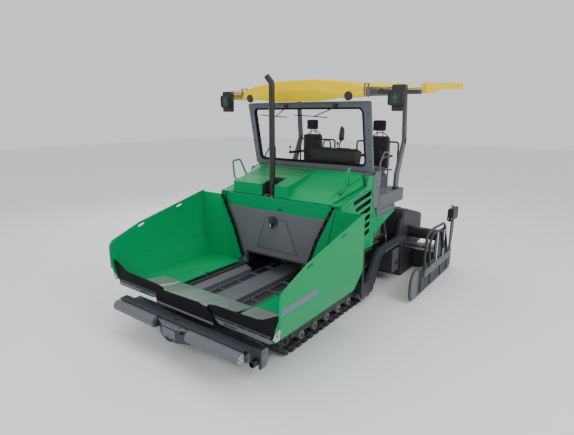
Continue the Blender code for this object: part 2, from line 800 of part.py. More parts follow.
def body_side(name, side):
    """The fixed side skin around the engine door, with the tail under the sill."""
    outline = [
        (BODY_FRONT, DECK_TOP + TOUCH),
        (BODY_FRONT, 1.795),
        (3.20, 1.995),
        (3.24, 2.16),
        (3.46, 2.16),
        (3.43, 1.85),
        (3.56, 1.435),
        (4.36, 1.435),
        (4.36, 1.41),
        (3.80, 1.24),
        (3.545, 1.12),
        (3.50, DECK_TOP + TOUCH),
    ]
    skin = side_plate(outline, side * BODY_HALF, side * (BODY_HALF + SKIN))
    foot = box(side * 1.10, side * (BODY_HALF + 0.01), BODY_FRONT + 0.03, BODY_FRONT + 0.07, DECK_TOP + TOUCH, 1.70)
    opening = side_plate(grown(DOOR_OUTLINE, RUN), side * 1.0, side * 1.4)
    node(f"body_side_{name}", GREEN, [skin, foot], [opening])


# ---- Operator's stand -------------------------------------------------------------
def operator_platform():
    """Tank block, floor, side boxes, cowl and the brackets of the lift cylinders."""
    solids = [box(-STAND_HALF, STAND_HALF, 3.60, STAND_REAR, FLOOR_BOTTOM, FLOOR_TOP)]
    solids.append(box(-1.165, 1.165, STAND_FRONT + 0.01, 3.61, DECK_TOP + TOUCH, COWL_TOP - 0.01))
    solids.append(box(-1.04, 1.04, 3.60, 4.20, DECK_TOP + TOUCH, FLOOR_BOTTOM + 0.02))
    solids.append(box(-1.165, 1.165, COWL_FRONT, 3.62, 2.04, COWL_TOP))
    solids.append(box(-STAND_HALF + 0.01, STAND_HALF - 0.01, 3.58, 4.35, 1.44, FLOOR_BOTTOM + 0.01))
    for side in (1, -1):
        cheek = [(3.475, 1.80), (3.475, 2.18), (3.72, 2.24), (3.62, 1.70), (3.59, 1.60)]
        solids.append(side_plate(cheek, side * 1.15, side * 1.204))
        bracket = [(LIFT_TOP[0] - 0.05, 1.45), (LIFT_TOP[0] + 0.03, 1.45), (LIFT_TOP[0] + 0.02, 1.375), (LIFT_TOP[0] - 0.05, 1.375)]
        solids.append(side_plate(bracket, side * 1.13, side * 1.195))
    node("operator_platform", GREY, solids)


def frame_board(outline, thick, back, *holes):
    """A board on the windshield's leaning plane, its foot on the cowl."""
    board = front_plate(outline, FRAME_STATION + back, FRAME_STATION + back + thick, *holes)
    foot = Matrix.Translation((0.0, at(FRAME_STATION), COWL_TOP))
    board.data.transform(foot @ Matrix.Rotation(FRAME_LEAN, 4, "X") @ foot.inverted())
    return board


def rounded_box(x, z0, z1, radius):
    corners = [(-x, z0), (x, z0), (x, z1), (-x, z1)]
    return fillet(corners, radius, 5, closed=True)


def windshield_frame():
    z0 = COWL_TOP + TOUCH
    hole = rounded_box(1.10, z0 + 0.11, z0 + FRAME_HEIGHT - 0.10, 0.08)
    board = frame_board(rounded_box(FRAME_HALF, z0 + 0.012, z0 + FRAME_HEIGHT, 0.02), FRAME_THICK, 0.0, hole)
    sill = box(-1.16, 1.16, FRAME_STATION + 0.004, FRAME_STATION + 0.10, COWL_TOP + TOUCH, COWL_TOP + 0.05)
    node("windshield_frame", GREY, [board, sill])


def windshield_glass():
    z0 = COWL_TOP + TOUCH
    gap = 0.0006
    pane = rounded_box(1.10 - gap, z0 + 0.11 + gap, z0 + FRAME_HEIGHT - 0.10 - gap, 0.08)
    node("windshield_glass", GLASS, [frame_board(pane, 0.008, 0.02)])


def guard_rail(name, side):
    """A hoop with a panel beside the cowl, and a rail behind the seat."""
    x = side * 1.2255
    hoop = [(x, 3.65, FLOOR_TOP + TOUCH), (x, 3.65, 2.33), (x, 3.80, 2.50), (x, 3.97, 2.50), (x, 3.97, FLOOR_TOP + TOUCH)]
    solids = [tube(hoop, 0.014, 0.06)]
    panel = [(3.648, FLOOR_TOP + 0.10), (3.648, 2.32), (3.80, 2.485), (3.965, 2.485), (3.965, FLOOR_TOP + 0.10)]
    solids.append(side_plate(panel, side * 1.222, side * 1.229))
    node(f"guard_rail_{name}", GREY, solids)


def rear_rail():
    """Two hoops behind the seats joined by a bar at knee height."""
    station = STAND_REAR - 0.03
    solids = [tube([(-1.0, station, 2.10), (1.0, station, 2.10)], 0.014, 0)]
    for side in (1, -1):
        hoop = [
            (side * 0.25, station, FLOOR_TOP + TOUCH),
            (side * 0.25, station, 2.62),
            (side * 1.10, station, 2.62),
            (side * 1.10, station, FLOOR_TOP + TOUCH),
        ]
        solids.append(tube(hoop, 0.016, 0.05))
    node("rear_rail", DARK, solids)


def seat(name):
    middle = SEAT_X[name]
    left = middle - SEAT_HALF
    right = middle + SEAT_HALF
    low = FLOOR_TOP + TOUCH
    s = SEAT_STATION
    pivot = (middle, s, 2.0)
    solids = [rod((middle, s, low), (middle, s, low + 0.24), 0.09, 20)]
    solids.append(box(middle - 0.18, middle + 0.18, s - 0.18, s + 0.18, low + 0.22, low + 0.30))
    solids.append(box(middle - 0.16, middle + 0.16, s + 0.10, s + 0.34, low + 0.26, low + 0.299))
    solids.append(box(middle - 0.16, middle + 0.16, s + 0.318, s + 0.34, low + 0.27, 2.88))
    solids.append(box(middle - 0.13, middle + 0.13, s + 0.25, s + 0.33, 2.83, 3.03))
    for side in (1, -1):
        x0 = middle + side * (SEAT_HALF - 0.005)
        x1 = middle + side * (SEAT_HALF + 0.038)
        solids.append(box(x0 + side * 0.007, x1, s - 0.20, s + 0.30, 2.375, 2.415))
        solids.append(box(middle + side * 0.10, x1 - side * 0.006, s + 0.322, s + 0.336, 2.36, 2.42))
        solids.append(box(x0 + side * 0.012, x1 - side * 0.006, s + 0.27, s + 0.335, 2.37, 2.41))
    node(f"seat_frame_{name}", PLASTIC, solids, pivot=pivot)
    cushion_low = low + 0.30 + TOUCH
    cushion = box(left, right, s - 0.25, s + 0.20, cushion_low, cushion_low + 0.125)
    node(f"seat_cushion_{name}", CLOTH, [cushion], pivot=pivot)
    back = box(left, right, s + 0.21, s + 0.318 - TOUCH, cushion_low + 0.07, 2.75)
    node(f"seat_back_{name}", CLOTH, [back], pivot=pivot)


def operator_console():
    """Desk on a rail across the cowl, with its stalk and round mirror."""
    desk = [(3.50, 2.22), (3.50, 2.50), (3.54, 2.56), (3.70, 2.50), (3.70, 2.46), (3.62, 2.25), (3.62, 2.22)]
    x0, x1 = -0.02, 0.86
    solids = [side_plate(desk, x0, x1)]
    solids.append(box(x0 + 0.1, x1 - 0.1, 3.50, 3.61, COWL_TOP + TOUCH, 2.24))
    solids.append(rod((0.30, 3.58, 2.50), (0.30, 3.66, 2.80), 0.014, 12))
    solids.append(rod((0.30, 3.645, 2.80), (0.30, 3.675, 2.794), 0.12, 24))
    node("operator_console", PLASTIC, solids, pivot=(0.42, 3.56, 2.2))


# ---- Roof ---------------------------------------------------------------------------
def leaned(thing):
    """Tips a roof piece up towards the rear about the roof's front edge."""
    front = Matrix.Translation((0.0, at(3.0), ROOF_Z))
    turn = front @ Matrix.Rotation(ROOF_LEAN, 4, "X") @ front.inverted()
    thing.data.transform(turn)
    return thing


def roof():
    """Fascia, skin, side beams and rear member; the awnings slide between skin and beams."""
    fascia = [(-ROOF_HALF, 3.368), (-1.0, 3.33), (-0.62, 3.372), (-0.3, 3.35)]
    fascia += [(-x, z) for x, z in reversed(fascia)]
    crown = [(ROOF_HALF, 3.52), (0.8, 3.58), (0.3, 3.60), (-0.3, 3.60), (-0.8, 3.58), (-ROOF_HALF, 3.52)]
    solids = [front_plate(fascia + crown, ROOF_FRONT, 3.16)]
    skin_low = AWNING_LOW + AWNING_THICK + 0.01
    skin = [(-1.16, skin_low), (1.16, skin_low), (1.14, 3.53), (0.8, 3.57), (0.3, 3.59), (-0.3, 3.59), (-0.8, 3.57), (-1.14, 3.53)]
    solids.append(front_plate(skin, 3.14, ROOF_REAR))
    for side in (1, -1):
        solids.append(box(side * 1.10, side * 1.20, 3.14, ROOF_REAR - 0.01, 3.40, AWNING_LOW - TOUCH))
    solids.append(box(-1.18, 1.18, AWNING_REAR + 0.02, ROOF_REAR - 0.005, 3.41, 3.55))
    solids = [leaned(solid) for solid in solids]
    node("roof", YELLOW, solids)


def roof_awning(name, side):
    panel = box(
        side * AWNING_INNER,
        side * (AWNING_OUTER - 0.01),
        AWNING_FRONT,
        AWNING_REAR,
        AWNING_LOW,
        AWNING_LOW + AWNING_THICK,
    )
    lip = [
        (3.48, 3.40),
        (3.95, 3.40),
        (4.12, 3.46),
        (AWNING_REAR, 3.46),
        (AWNING_REAR + 0.01, 3.57),
        (3.48, 3.57),
    ]
    edge = side_plate(lip, side * (AWNING_OUTER - 0.07), side * AWNING_OUTER)
    pieces = [leaned(panel), leaned(edge)]
    node(f"roof_awning_{name}", YELLOW, pieces, pivot=(side * AWNING_OUTER, 4.4, 3.5))


def roof_post(name, side):
    top = ROOF_Z + (4.70 - 3.0) * math.tan(ROOF_LEAN) - 0.05 - 2 * TOUCH
    outline = [
        (4.44, FLOOR_TOP + TOUCH),
        (4.56, FLOOR_TOP + TOUCH),
        (4.60, 2.06),
        (4.84, 2.62),
        (4.84, 2.70),
        (4.75, top + 0.0016),
        (4.67, top - 0.0016),
        (4.74, 2.66),
        (4.46, 2.06),
    ]
    post = side_plate(outline, side * 1.135, side * 1.195)
    node(f"roof_post_{name}", GREY, [post])


def signal_light(name, side):
    """Front traffic signal on two arms from the end of the fascia."""
    inner = ROOF_HALF + TOUCH
    lamp = box(side * 1.565, side * 1.80, 3.02, 3.09, 3.235, 3.465)
    solids = [lamp]
    solids.append(box(side * 1.60, side * 1.80, 3.08, 3.20, 3.16, 3.54))
    solids.append(box(side * (inner + 0.001), side * 1.61, 3.10, 3.12, 3.485, 3.505))
    solids.append(box(side * (inner + 0.001), side * 1.61, 3.10, 3.12, 3.385, 3.40))
    solids.append(box(side * inner, side * (inner + 0.02), 3.07, 3.15, 3.375, 3.515))
    node(f"signal_light_{name}", PLASTIC, solids)


# ---- Auger and screed -------------------------------------------------------------
def auger_carrier():
    front = CHASSIS_REAR + TOUCH
    channel = [(-1.23, 0.66), (-0.60, 0.66), (-0.60, 0.40), (0.60, 0.40), (0.60, 0.66), (1.23, 0.66), (1.23, 0.21), (-1.23, 0.21)]
    solids = [front_plate(channel, front, front + 0.02)]
    solids.append(box(-0.07, 0.07, front + 0.01, AUGER_STATION + 0.09, 0.27, 0.45))
    for side in (1, -1):
        solids.append(box(side * 0.60, side * 0.64, front + 0.005, front + 0.018, 0.23, 0.89))
        plate_side = [(front + 0.005, 0.20), (front + 0.005, 0.64), (4.68, 0.64), (4.68, 0.20)]
        solids.append(side_plate(plate_side, side * 1.22, side * 1.245))
        solids.append(rod((side * 1.2003, AUGER_STATION, AUGER_Z), (side * 1.23, AUGER_STATION, AUGER_Z), 0.05, 16))
    solids.append(box(-0.63, 0.63, front + 0.002, front + 0.03, 0.83, 0.90))
    node("auger_carrier", DARK, solids)


def auger(name, side):
    """A shaft with a helical blade, turned from one radial line."""
    turns = (AUGER_HALF - 0.10) / AUGER_PITCH
    mesh = bpy.data.meshes.new("blade")
    mesh.from_pydata([(0, 0, 0.02), (0, 0, AUGER_RADIUS)], [(0, 1)], [])
    blade = new_object(mesh)
    screw = blade.modifiers.new("Screw", "SCREW")
    screw.axis = "X"
    screw.angle = side * turns * math.tau
    screw.screw_offset = turns * AUGER_PITCH * side
    screw.steps = int(turns * 16)
    screw.render_steps = screw.steps
    solid = blade.modifiers.new("Solidify", "SOLIDIFY")
    solid.thickness = 0.014
    solid.offset = 0.0
    blade.location = (side * 0.09, at(AUGER_STATION), AUGER_Z)
    shaft = rod((side * 0.0753, AUGER_STATION, AUGER_Z), (side * 1.1997, AUGER_STATION, AUGER_Z), 0.04, 16)
    pivot = (side * 0.64, AUGER_STATION, AUGER_Z)
    node(f"auger_{name}", STEEL, [shaft, blade], pivot=pivot)


def slide_cutters(side):
    cutters = []
    gaps = (RUN, 2 * TOUCH, 2 * TOUCH)
    for gap, (station, z, radius) in zip(gaps, (SLIDE_TUBE[side], *SLIDE_RODS[side])):
        ends = (side * BORE_INNER, side * (SCREED_HALF + 0.1))
        cutters.append(rod((ends[0], station, z), (ends[1], station, z), radius + gap, 20))
    return cutters


def screed_body():
    """Mould, cover with its sloping top, and the walkway behind."""
    mould = [(SCREED_FRONT, 0.05), (SCREED_FRONT, MOULD_TOP), (SCREED_REAR, MOULD_TOP), (SCREED_REAR, 0.0), (SCREED_FRONT + 0.04, 0.0)]
    solids = [side_plate(mould, -SCREED_HALF, SCREED_HALF)]
    cover = [
        (4.74, 0.44),
        (4.74, 1.29),
        (4.80, 1.35),
        (4.90, 1.35),
        (5.72, 1.13),
        (SCREED_COVER_REAR, 1.07),
        (SCREED_COVER_REAR, COVER_LOW),
        (SCREED_REAR - 0.01, COVER_LOW),
        (SCREED_REAR - 0.01, 0.38),
        (SCREED_FRONT + 0.01, 0.38),
    ]
    solids.append(side_plate(cover, -SCREED_HALF + 0.002, SCREED_HALF - 0.002))
    solids.append(box(-SCREED_HALF + 0.02, SCREED_HALF - 0.02, SCREED_COVER_REAR - 0.01, REAR_END, COVER_LOW + 0.002, COVER_LOW + 0.03))
    cuts = slide_cutters(1) + slide_cutters(-1)
    node("screed_body", DARK, solids, cuts, pivot=(0, TOW_STATION, TOW_Z))


def screed_arm(name, side):
    outline = [
        (3.23, 0.24),
        (3.27, 0.38),
        (3.42, 0.50),
        (3.60, 0.74),
        (3.72, 0.82),
        (4.10, 0.845),
        (4.60, 0.86),
        (4.66, 1.16),
        (4.72, 1.20),
        (4.80, 1.18),
        (4.87, 1.05),
        (4.84, 0.80),
        (4.74, 0.69),
        (3.92, 0.69),
        (3.80, 0.60),
        (3.62, 0.24),
        (3.49, 0.17),
        (3.30, 0.19),
    ]
    arm = side_plate(outline, side * ARM_INNER, side * (ARM_INNER + ARM_THICK))
    foot = box(side * (SCREED_HALF - 0.06), side * SCREED_HALF, 4.70, 4.7397, 0.70, 1.16)
    eye = (LIFT_EYE[0], LIFT_EYE[1] - 0.13)
    pin = rod((side * 1.145, *eye), (side * 1.21, *eye), 0.016, 12)
    cap = rod((side * 1.142, *eye), (side * 1.147, *eye), 0.03, 12)
    cut = box(side * 1.1, side * 1.4, 4.7397, 5.2, 0.4, 1.4)
    node(f"screed_arm_{name}", GREY, [arm, foot, pin, cap], [cut], pivot=(side * ARM_INNER, TOW_STATION, TOW_Z))


def lift_line(distance):
    """A (station, z) point on the lift cylinder's line, from its top."""
    top = Vector(LIFT_TOP)
    eye = Vector((LIFT_EYE[0], LIFT_EYE[1] - 0.13))
    return tuple(top + (eye - top).normalized() * distance)


def lift_cylinder(name, side):
    x = side * LIFT_X
    eye = rod((x - 0.018, *lift_line(0.0)), (x + 0.018, *lift_line(0.0)), 0.035, 16)
    barrel = rod((x, *lift_line(0.02)), (x, *lift_line(0.38)), 0.026, 16)
    bore = rod((x, *lift_line(0.10)), (x, *lift_line(0.45)), 0.0156, 16)
    node(f"lift_cylinder_{name}", DARK, [barrel, eye], [bore])


def lift_rod(name, side):
    x = side * LIFT_X
    length = (Vector(LIFT_TOP) - Vector((LIFT_EYE[0], LIFT_EYE[1] - 0.13))).length
    stem = rod((x, *lift_line(0.26)), (x, *lift_line(length - 0.034)), 0.0150, 16)
    ring = rod((x - 0.012, *lift_line(length)), (x + 0.012, *lift_line(length)), 0.042, 20)
    hole = rod((x - 0.1, *lift_line(length)), (x + 0.1, *lift_line(length)), 0.033, 20)
    node(f"lift_rod_{name}", STEEL, [ring, stem], [hole], pivot=(x, *lift_line(length)))


def screed_extension(name, side):
    """Extension mould behind the screed, slide tube and rods, side gate and controls."""
    inner = side * EXTENSION_INNER
    face = EXTENSION_OUTER
    front = SCREED_REAR + RUN
    mould = [(front, 0.05), (front, 0.42), (EXTENSION_REAR, 0.42), (EXTENSION_REAR, 0.0), (front + 0.04, 0.0)]
    solids = [side_plate(mould, inner, side * (face + 0.005))]
    gate = [
        (3.60, 0.20),
        (3.62, 0.10),
        (3.70, 0.03),
        (3.85, 0.012),
        (5.70, 0.012),
        (5.93, 0.05),
        (5.93, 0.44),
        (4.30, 0.50),
        (3.86, 0.56),
        (3.70, 0.52),
        (3.62, 0.38),
    ]
    solids.append(side_plate(gate, side * face, side * (face + GATE)))
    solids.append(box(side * (face + 0.01), side * (face + 0.05), 4.25, 5.72, 0.29, 0.43))
    solids.append(box(side * (face - 0.02), side * (face + 0.01), 4.84, 5.52, 0.40, 1.00))
    for station, z, radius in (SLIDE_TUBE[side], *SLIDE_RODS[side]):
        solids.append(rod((side * TUBE_INNER, station, z), (side * (face - 0.01), station, z), radius, 20))
    x = side * (face + 0.03)
    hoop = [(x, 4.30, 0.36), (x, 4.22, 0.62), (x, 4.27, 1.08), (x, 4.60, 1.12), (x, 5.25, 1.10), (x, 5.60, 0.38)]
    solids.append(tube(hoop, 0.018, 0.09))
    solids.append(box(side * (face + 0.01), side * (face + 0.05), 5.70, 5.78, 0.35, 1.06))
    solids.append(box(side * (face - 0.02), side * (face + 0.10), 5.66, 5.82, 1.05, 1.32))
    solids.append(rod((side * (face + 0.02), 5.74, 1.31), (side * (face + 0.02), 5.74, 1.37), 0.03, 16))
    node(f"screed_extension_{name}", DARK, solids, pivot=(inner, 5.7, 0.2))


# ---- Assembly -----------------------------------------------------------------------
chassis_frame()
push_beam()
push_roller_beam()
apron_plate()
apron_flap()
hopper_rear_wall()
engine_block()
front_valance()
engine_hood()
exhaust_pipe()
operator_platform()
windshield_frame()
windshield_glass()
rear_rail()
operator_console()
roof()
auger_carrier()
screed_body()
for side_name, side_sign in both_sides():
    track(side_name, side_sign)
    track_frame(side_name, side_sign)
    conveyor(side_name, side_sign)
    push_roller(side_name, side_sign)
    hopper_wing(side_name, side_sign)
    wing_flap(side_name, side_sign)
    engine_door(side_name, side_sign)
    body_side(side_name, side_sign)
    guard_rail(side_name, side_sign)
    seat(side_name)
    roof_awning(side_name, side_sign)
    roof_post(side_name, side_sign)
    signal_light(side_name, side_sign)
    auger(side_name, side_sign)
    screed_arm(side_name, side_sign)
    lift_cylinder(side_name, side_sign)
    lift_rod(side_name, side_sign)
    screed_extension(side_name, side_sign)
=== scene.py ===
import math

import bmesh
import bpy
import numpy as np
from mathutils import Matrix, Vector
from mathutils.geometry import tessellate_polygon


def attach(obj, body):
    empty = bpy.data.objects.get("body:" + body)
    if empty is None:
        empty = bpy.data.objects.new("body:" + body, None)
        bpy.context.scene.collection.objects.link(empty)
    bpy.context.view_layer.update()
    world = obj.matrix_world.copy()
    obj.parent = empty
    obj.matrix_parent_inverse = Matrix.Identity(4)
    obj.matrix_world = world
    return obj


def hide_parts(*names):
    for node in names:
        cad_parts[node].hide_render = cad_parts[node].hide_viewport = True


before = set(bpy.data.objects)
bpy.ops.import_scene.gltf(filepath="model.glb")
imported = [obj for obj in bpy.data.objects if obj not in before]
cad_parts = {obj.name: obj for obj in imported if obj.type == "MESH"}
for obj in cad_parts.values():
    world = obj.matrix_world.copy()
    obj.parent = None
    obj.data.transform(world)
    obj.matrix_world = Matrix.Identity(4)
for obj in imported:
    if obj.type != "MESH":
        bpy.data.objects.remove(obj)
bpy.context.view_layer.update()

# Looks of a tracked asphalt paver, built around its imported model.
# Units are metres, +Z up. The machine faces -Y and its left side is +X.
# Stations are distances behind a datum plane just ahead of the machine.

DATUM = 3.0935
SIDES = (("left", 1), ("right", -1))
OUTWARD = {1: "+x", -1: "-x"}
MERGE = 0.00002


def at(station):
    return station - DATUM


# ---- Node trees ----
def add(tree, kind, inputs=None, **settings):
    """A node with its settings, constants and incoming links."""
    node = tree.nodes.new(kind)
    for key, value in settings.items():
        setattr(node, key, value)
    for key, value in (inputs or {}).items():
        if isinstance(value, bpy.types.NodeSocket):
            tree.links.new(value, node.inputs[key])
        else:
            node.inputs[key].default_value = value
    return node


def finish(name, light, dark, rough, metallic=0.0, coat=0.0, mottle=1.3, grain=260.0,
           depth=0.0002, stretch=(1, 1, 1), rounding=0.004, edge_wear_and_highlight_colour=(0, 0, 0), edge_wear_and_highlight=0.0,
           dust=0.0, ior=1.5):
    """A worked surface: broad tone, fine grain, softened edges, a lighter edge tint that is partly wear and
    partly a painted highlight, and low dust.
    """
    material = bpy.data.materials.new(name)
    material.use_nodes = True
    tree = material.node_tree
    shader = tree.nodes["Principled BSDF"]
    place = add(tree, "ShaderNodeTexCoord").outputs["Object"]
    place = add(tree, "ShaderNodeMapping", {"Vector": place, "Scale": stretch}).outputs["Vector"]
    broad = add(tree, "ShaderNodeTexNoise", {"Vector": place, "Scale": mottle, "Detail": 5.0}).outputs["Fac"]
    fine = add(tree, "ShaderNodeTexNoise", {"Vector": place, "Scale": grain, "Detail": 3.0}).outputs["Fac"]
    tone = add(tree, "ShaderNodeMix", {0: broad, 6: (*dark, 1), 7: (*light, 1)}, data_type="RGBA")
    colour = tone.outputs[2]
    soft = add(tree, "ShaderNodeBevel", {"Radius": rounding}, samples=4).outputs["Normal"]
    # Lighter tint on rounded edges: partly paint wear, partly a painted highlight standing in for reflections
    # on the edges.
    if edge_wear_and_highlight:
        true = add(tree, "ShaderNodeNewGeometry").outputs["Normal"]
        turn = add(tree, "ShaderNodeVectorMath", {0: soft, 1: true}, operation="DOT_PRODUCT")
        edge_wear_and_highlight_mask = add(tree, "ShaderNodeMapRange", {"Value": turn.outputs["Value"], "From Min": 0.985,
            "From Max": 0.80, "To Min": 0.0, "To Max": edge_wear_and_highlight})
        patchy_edge_wear_and_highlight = add(tree, "ShaderNodeMath", {0: edge_wear_and_highlight_mask.outputs[0], 1: fine}, operation="MULTIPLY")
        mixed = add(tree, "ShaderNodeMix", {0: patchy_edge_wear_and_highlight.outputs[0], 6: colour, 7: (*edge_wear_and_highlight_colour, 1)}, data_type="RGBA")
        colour = mixed.outputs[2]
    if dust:
        height = add(tree, "ShaderNodeSeparateXYZ", {0: place}).outputs["Z"]
        low = add(tree, "ShaderNodeMapRange", {"Value": height, "From Min": 0.55, "From Max": 0.0,
            "To Min": 0.0, "To Max": dust})
        laid = add(tree, "ShaderNodeMath", {0: low.outputs[0], 1: broad}, operation="MULTIPLY")
        mixed = add(tree, "ShaderNodeMix", {0: laid.outputs[0], 6: colour, 7: (0.16, 0.14, 0.12, 1)},
            data_type="RGBA")
        colour = mixed.outputs[2]
    spread = add(tree, "ShaderNodeMapRange", {"Value": broad, "To Min": rough * 0.8, "To Max": rough * 1.2})
    bump = add(tree, "ShaderNodeBump", {"Height": fine, "Strength": 0.6, "Distance": depth, "Normal": soft})
    tree.links.new(colour, shader.inputs["Base Color"])
    tree.links.new(spread.outputs[0], shader.inputs["Roughness"])
    tree.links.new(bump.outputs[0], shader.inputs["Normal"])
    shader.inputs["Metallic"].default_value = metallic
    shader.inputs["Coat Weight"].default_value = coat
    shader.inputs["Coat Roughness"].default_value = 0.08
    shader.inputs["IOR"].default_value = ior
    return material


def pane_finish(name, tint, alpha, rough):
    """Clear glazing: a faint tint with a sharp reflection and a slight smear."""
    material = bpy.data.materials.new(name)
    material.use_nodes = True
    tree = material.node_tree
    shader = tree.nodes["Principled BSDF"]
    place = add(tree, "ShaderNodeTexCoord").outputs["Object"]
    smear = add(tree, "ShaderNodeTexNoise", {"Vector": place, "Scale": 3.0, "Detail": 4.0}).outputs["Fac"]
    spread = add(tree, "ShaderNodeMapRange", {"Value": smear, "To Min": rough, "To Max": rough * 3})
    tree.links.new(spread.outputs[0], shader.inputs["Roughness"])
    shader.inputs["Base Color"].default_value = (*tint, 1)
    shader.inputs["Alpha"].default_value = alpha
    return material


def glow_finish(name, colour, strength):
    """A lamp face behind small ribs."""
    material = finish(name, colour, [c * 0.7 for c in colour], 0.3, grain=400)
    shader = material.node_tree.nodes["Principled BSDF"]
    shader.inputs["Emission Color"].default_value = (*colour, 1)
    shader.inputs["Emission Strength"].default_value = strength
    return material


def cloth_finish():
    """Black seat fabric: a fine two-way weave with a soft sheen."""
    material = bpy.data.materials.new("seat_fabric")
    material.use_nodes = True
    tree = material.node_tree
    shader = tree.nodes["Principled BSDF"]
    place = add(tree, "ShaderNodeTexCoord").outputs["Object"]
    threads = []
    for turn in ((0.0, 0.0, 0.0), (math.pi / 2, 0.0, math.pi / 2)):
        turned = add(tree, "ShaderNodeMapping", {"Vector": place, "Rotation": turn}).outputs["Vector"]
        wave = add(tree, "ShaderNodeTexWave", {"Vector": turned, "Scale": 140.0, "Distortion": 0.6,
            "Detail": 1.0})
        threads.append(wave.outputs["Fac"])
    weave = add(tree, "ShaderNodeMath", {0: threads[0], 1: threads[1]}, operation="MULTIPLY").outputs[0]
    broad = add(tree, "ShaderNodeTexNoise", {"Vector": place, "Scale": 9.0, "Detail": 4.0}).outputs["Fac"]
    tone = add(tree, "ShaderNodeMix", {0: broad, 6: (0.004, 0.004, 0.005, 1), 7: (0.011, 0.011, 0.013, 1)},
        data_type="RGBA")
    bump = add(tree, "ShaderNodeBump", {"Height": weave, "Strength": 0.5, "Distance": 0.0006})
    tree.links.new(tone.outputs[2], shader.inputs["Base Color"])
    tree.links.new(bump.outputs[0], shader.inputs["Normal"])
    shader.inputs["Roughness"].default_value = 0.85
    shader.inputs["Sheen Weight"].default_value = 0.25
    shader.inputs["Sheen Roughness"].default_value = 0.5
    return material


# Each finish: its material and the record's slot that it stands for.
# Each edge colour is a lighter tint of its finish: partly wear, partly a painted highlight.
FINISHES = {
    "green": (finish("green_gloss", (0.0, 0.30, 0.10), (0.0, 0.25, 0.08), 0.42, coat=0.04, ior=1.22,
                     mottle=0.8,
                     grain=420, depth=0.00012, edge_wear_and_highlight_colour=(0.04, 0.42, 0.20), edge_wear_and_highlight=0.6, dust=0.08), "green_paint"),
    "grey": (finish("grey_satin", (0.135, 0.143, 0.156), (0.108, 0.115, 0.127), 0.48, coat=0.0, ior=1.3,
                    mottle=1.6,
                    grain=380, edge_wear_and_highlight_colour=(0.26, 0.28, 0.31), edge_wear_and_highlight=0.7, dust=0.15), "grey_paint"),
    "charcoal": (finish("charcoal_satin", (0.044, 0.047, 0.053), (0.031, 0.033, 0.038), 0.50, ior=1.35,
                        mottle=2.2,
                        grain=380, edge_wear_and_highlight_colour=(0.10, 0.105, 0.12), edge_wear_and_highlight=0.7, dust=0.2), "dark_paint"),
    "black": (finish("black_satin", (0.010, 0.0105, 0.012), (0.006, 0.0065, 0.008), 0.42, mottle=3.0,
                     grain=500, edge_wear_and_highlight_colour=(0.04, 0.04, 0.045), edge_wear_and_highlight=0.6), "dark_paint"),
    "yellow": (finish("yellow_shell", (0.84, 0.60, 0.0), (0.78, 0.54, 0.0), 0.42, coat=0.0, ior=1.18,
                      mottle=0.9,
                      grain=300, edge_wear_and_highlight_colour=(1.0, 0.85, 0.25), edge_wear_and_highlight=0.5), "yellow_shell"),
    "rubber": (finish("flap_rubber", (0.008, 0.008, 0.009), (0.004, 0.004, 0.005), 0.75, ior=1.25, mottle=5.0,
                      grain=160, depth=0.0008, edge_wear_and_highlight_colour=(0.03, 0.03, 0.03), edge_wear_and_highlight=0.5, dust=0.08), "black_rubber"),
    "tread": (finish("track_rubber", (0.016, 0.016, 0.017), (0.009, 0.009, 0.010), 0.8, mottle=6.0, grain=120,
                     depth=0.001, edge_wear_and_highlight_colour=(0.06, 0.057, 0.054), edge_wear_and_highlight=0.7, dust=0.3), "track_rubber"),
    "plastic": (finish("grained_plastic", (0.012, 0.012, 0.0135), (0.008, 0.008, 0.009), 0.5, mottle=6.0,
                       grain=650, depth=0.0003), "black_plastic"),
    "steel": (finish("scoured_steel", (0.56, 0.57, 0.59), (0.33, 0.34, 0.355), 0.34, metallic=0.75,
                     mottle=2.0,
                     grain=60, depth=0.0003, stretch=(3.0, 0.35, 1.0), edge_wear_and_highlight_colour=(0.8, 0.8, 0.8), edge_wear_and_highlight=0.6),
              "bare_steel"),
    "chrome": (finish("ground_chrome", (0.80, 0.81, 0.83), (0.68, 0.69, 0.72), 0.16, metallic=1.0, mottle=3.0,
                      grain=200, depth=0.00005), "bare_steel"),
    "bolt": (finish("zinc_bolt", (0.20, 0.21, 0.23), (0.12, 0.125, 0.14), 0.35, metallic=0.6, mottle=20,
                    grain=300), "bare_steel"),
    "band": (finish("grey_band", (0.13, 0.155, 0.22), (0.11, 0.135, 0.195), 0.45, mottle=2.0), "grey_paint"),
    "pad": (finish("orange_knob", (0.95, 0.16, 0.02), (0.80, 0.11, 0.012), 0.4, mottle=8.0), "black_plastic"),
    "arrow": (glow_finish("signal_arrow", (0.0, 0.11, 0.07), 0.05), "black_plastic"),
    "lens": (pane_finish("lamp_lens", (0.02, 0.022, 0.027), 1.0, 0.05), "black_plastic"),
    "glass": (pane_finish("windshield_pane", (0.03, 0.04, 0.04), 0.03, 0.02), "clear_glass"),
    "fabric": (cloth_finish(), "seat_cloth"),
}


# ---- Solid shapes ----
PLANES = {
    "side": lambda a, b, depth: (depth, at(a), b),
    "front": lambda a, b, depth: (a, at(depth), b),
    "top": lambda a, b, depth: (a, at(b), depth),
}


def flattened(shape):
    """Joins faces that lie in one plane."""
    bmesh.ops.dissolve_limit(shape, angle_limit=0.01, verts=shape.verts, edges=shape.edges)


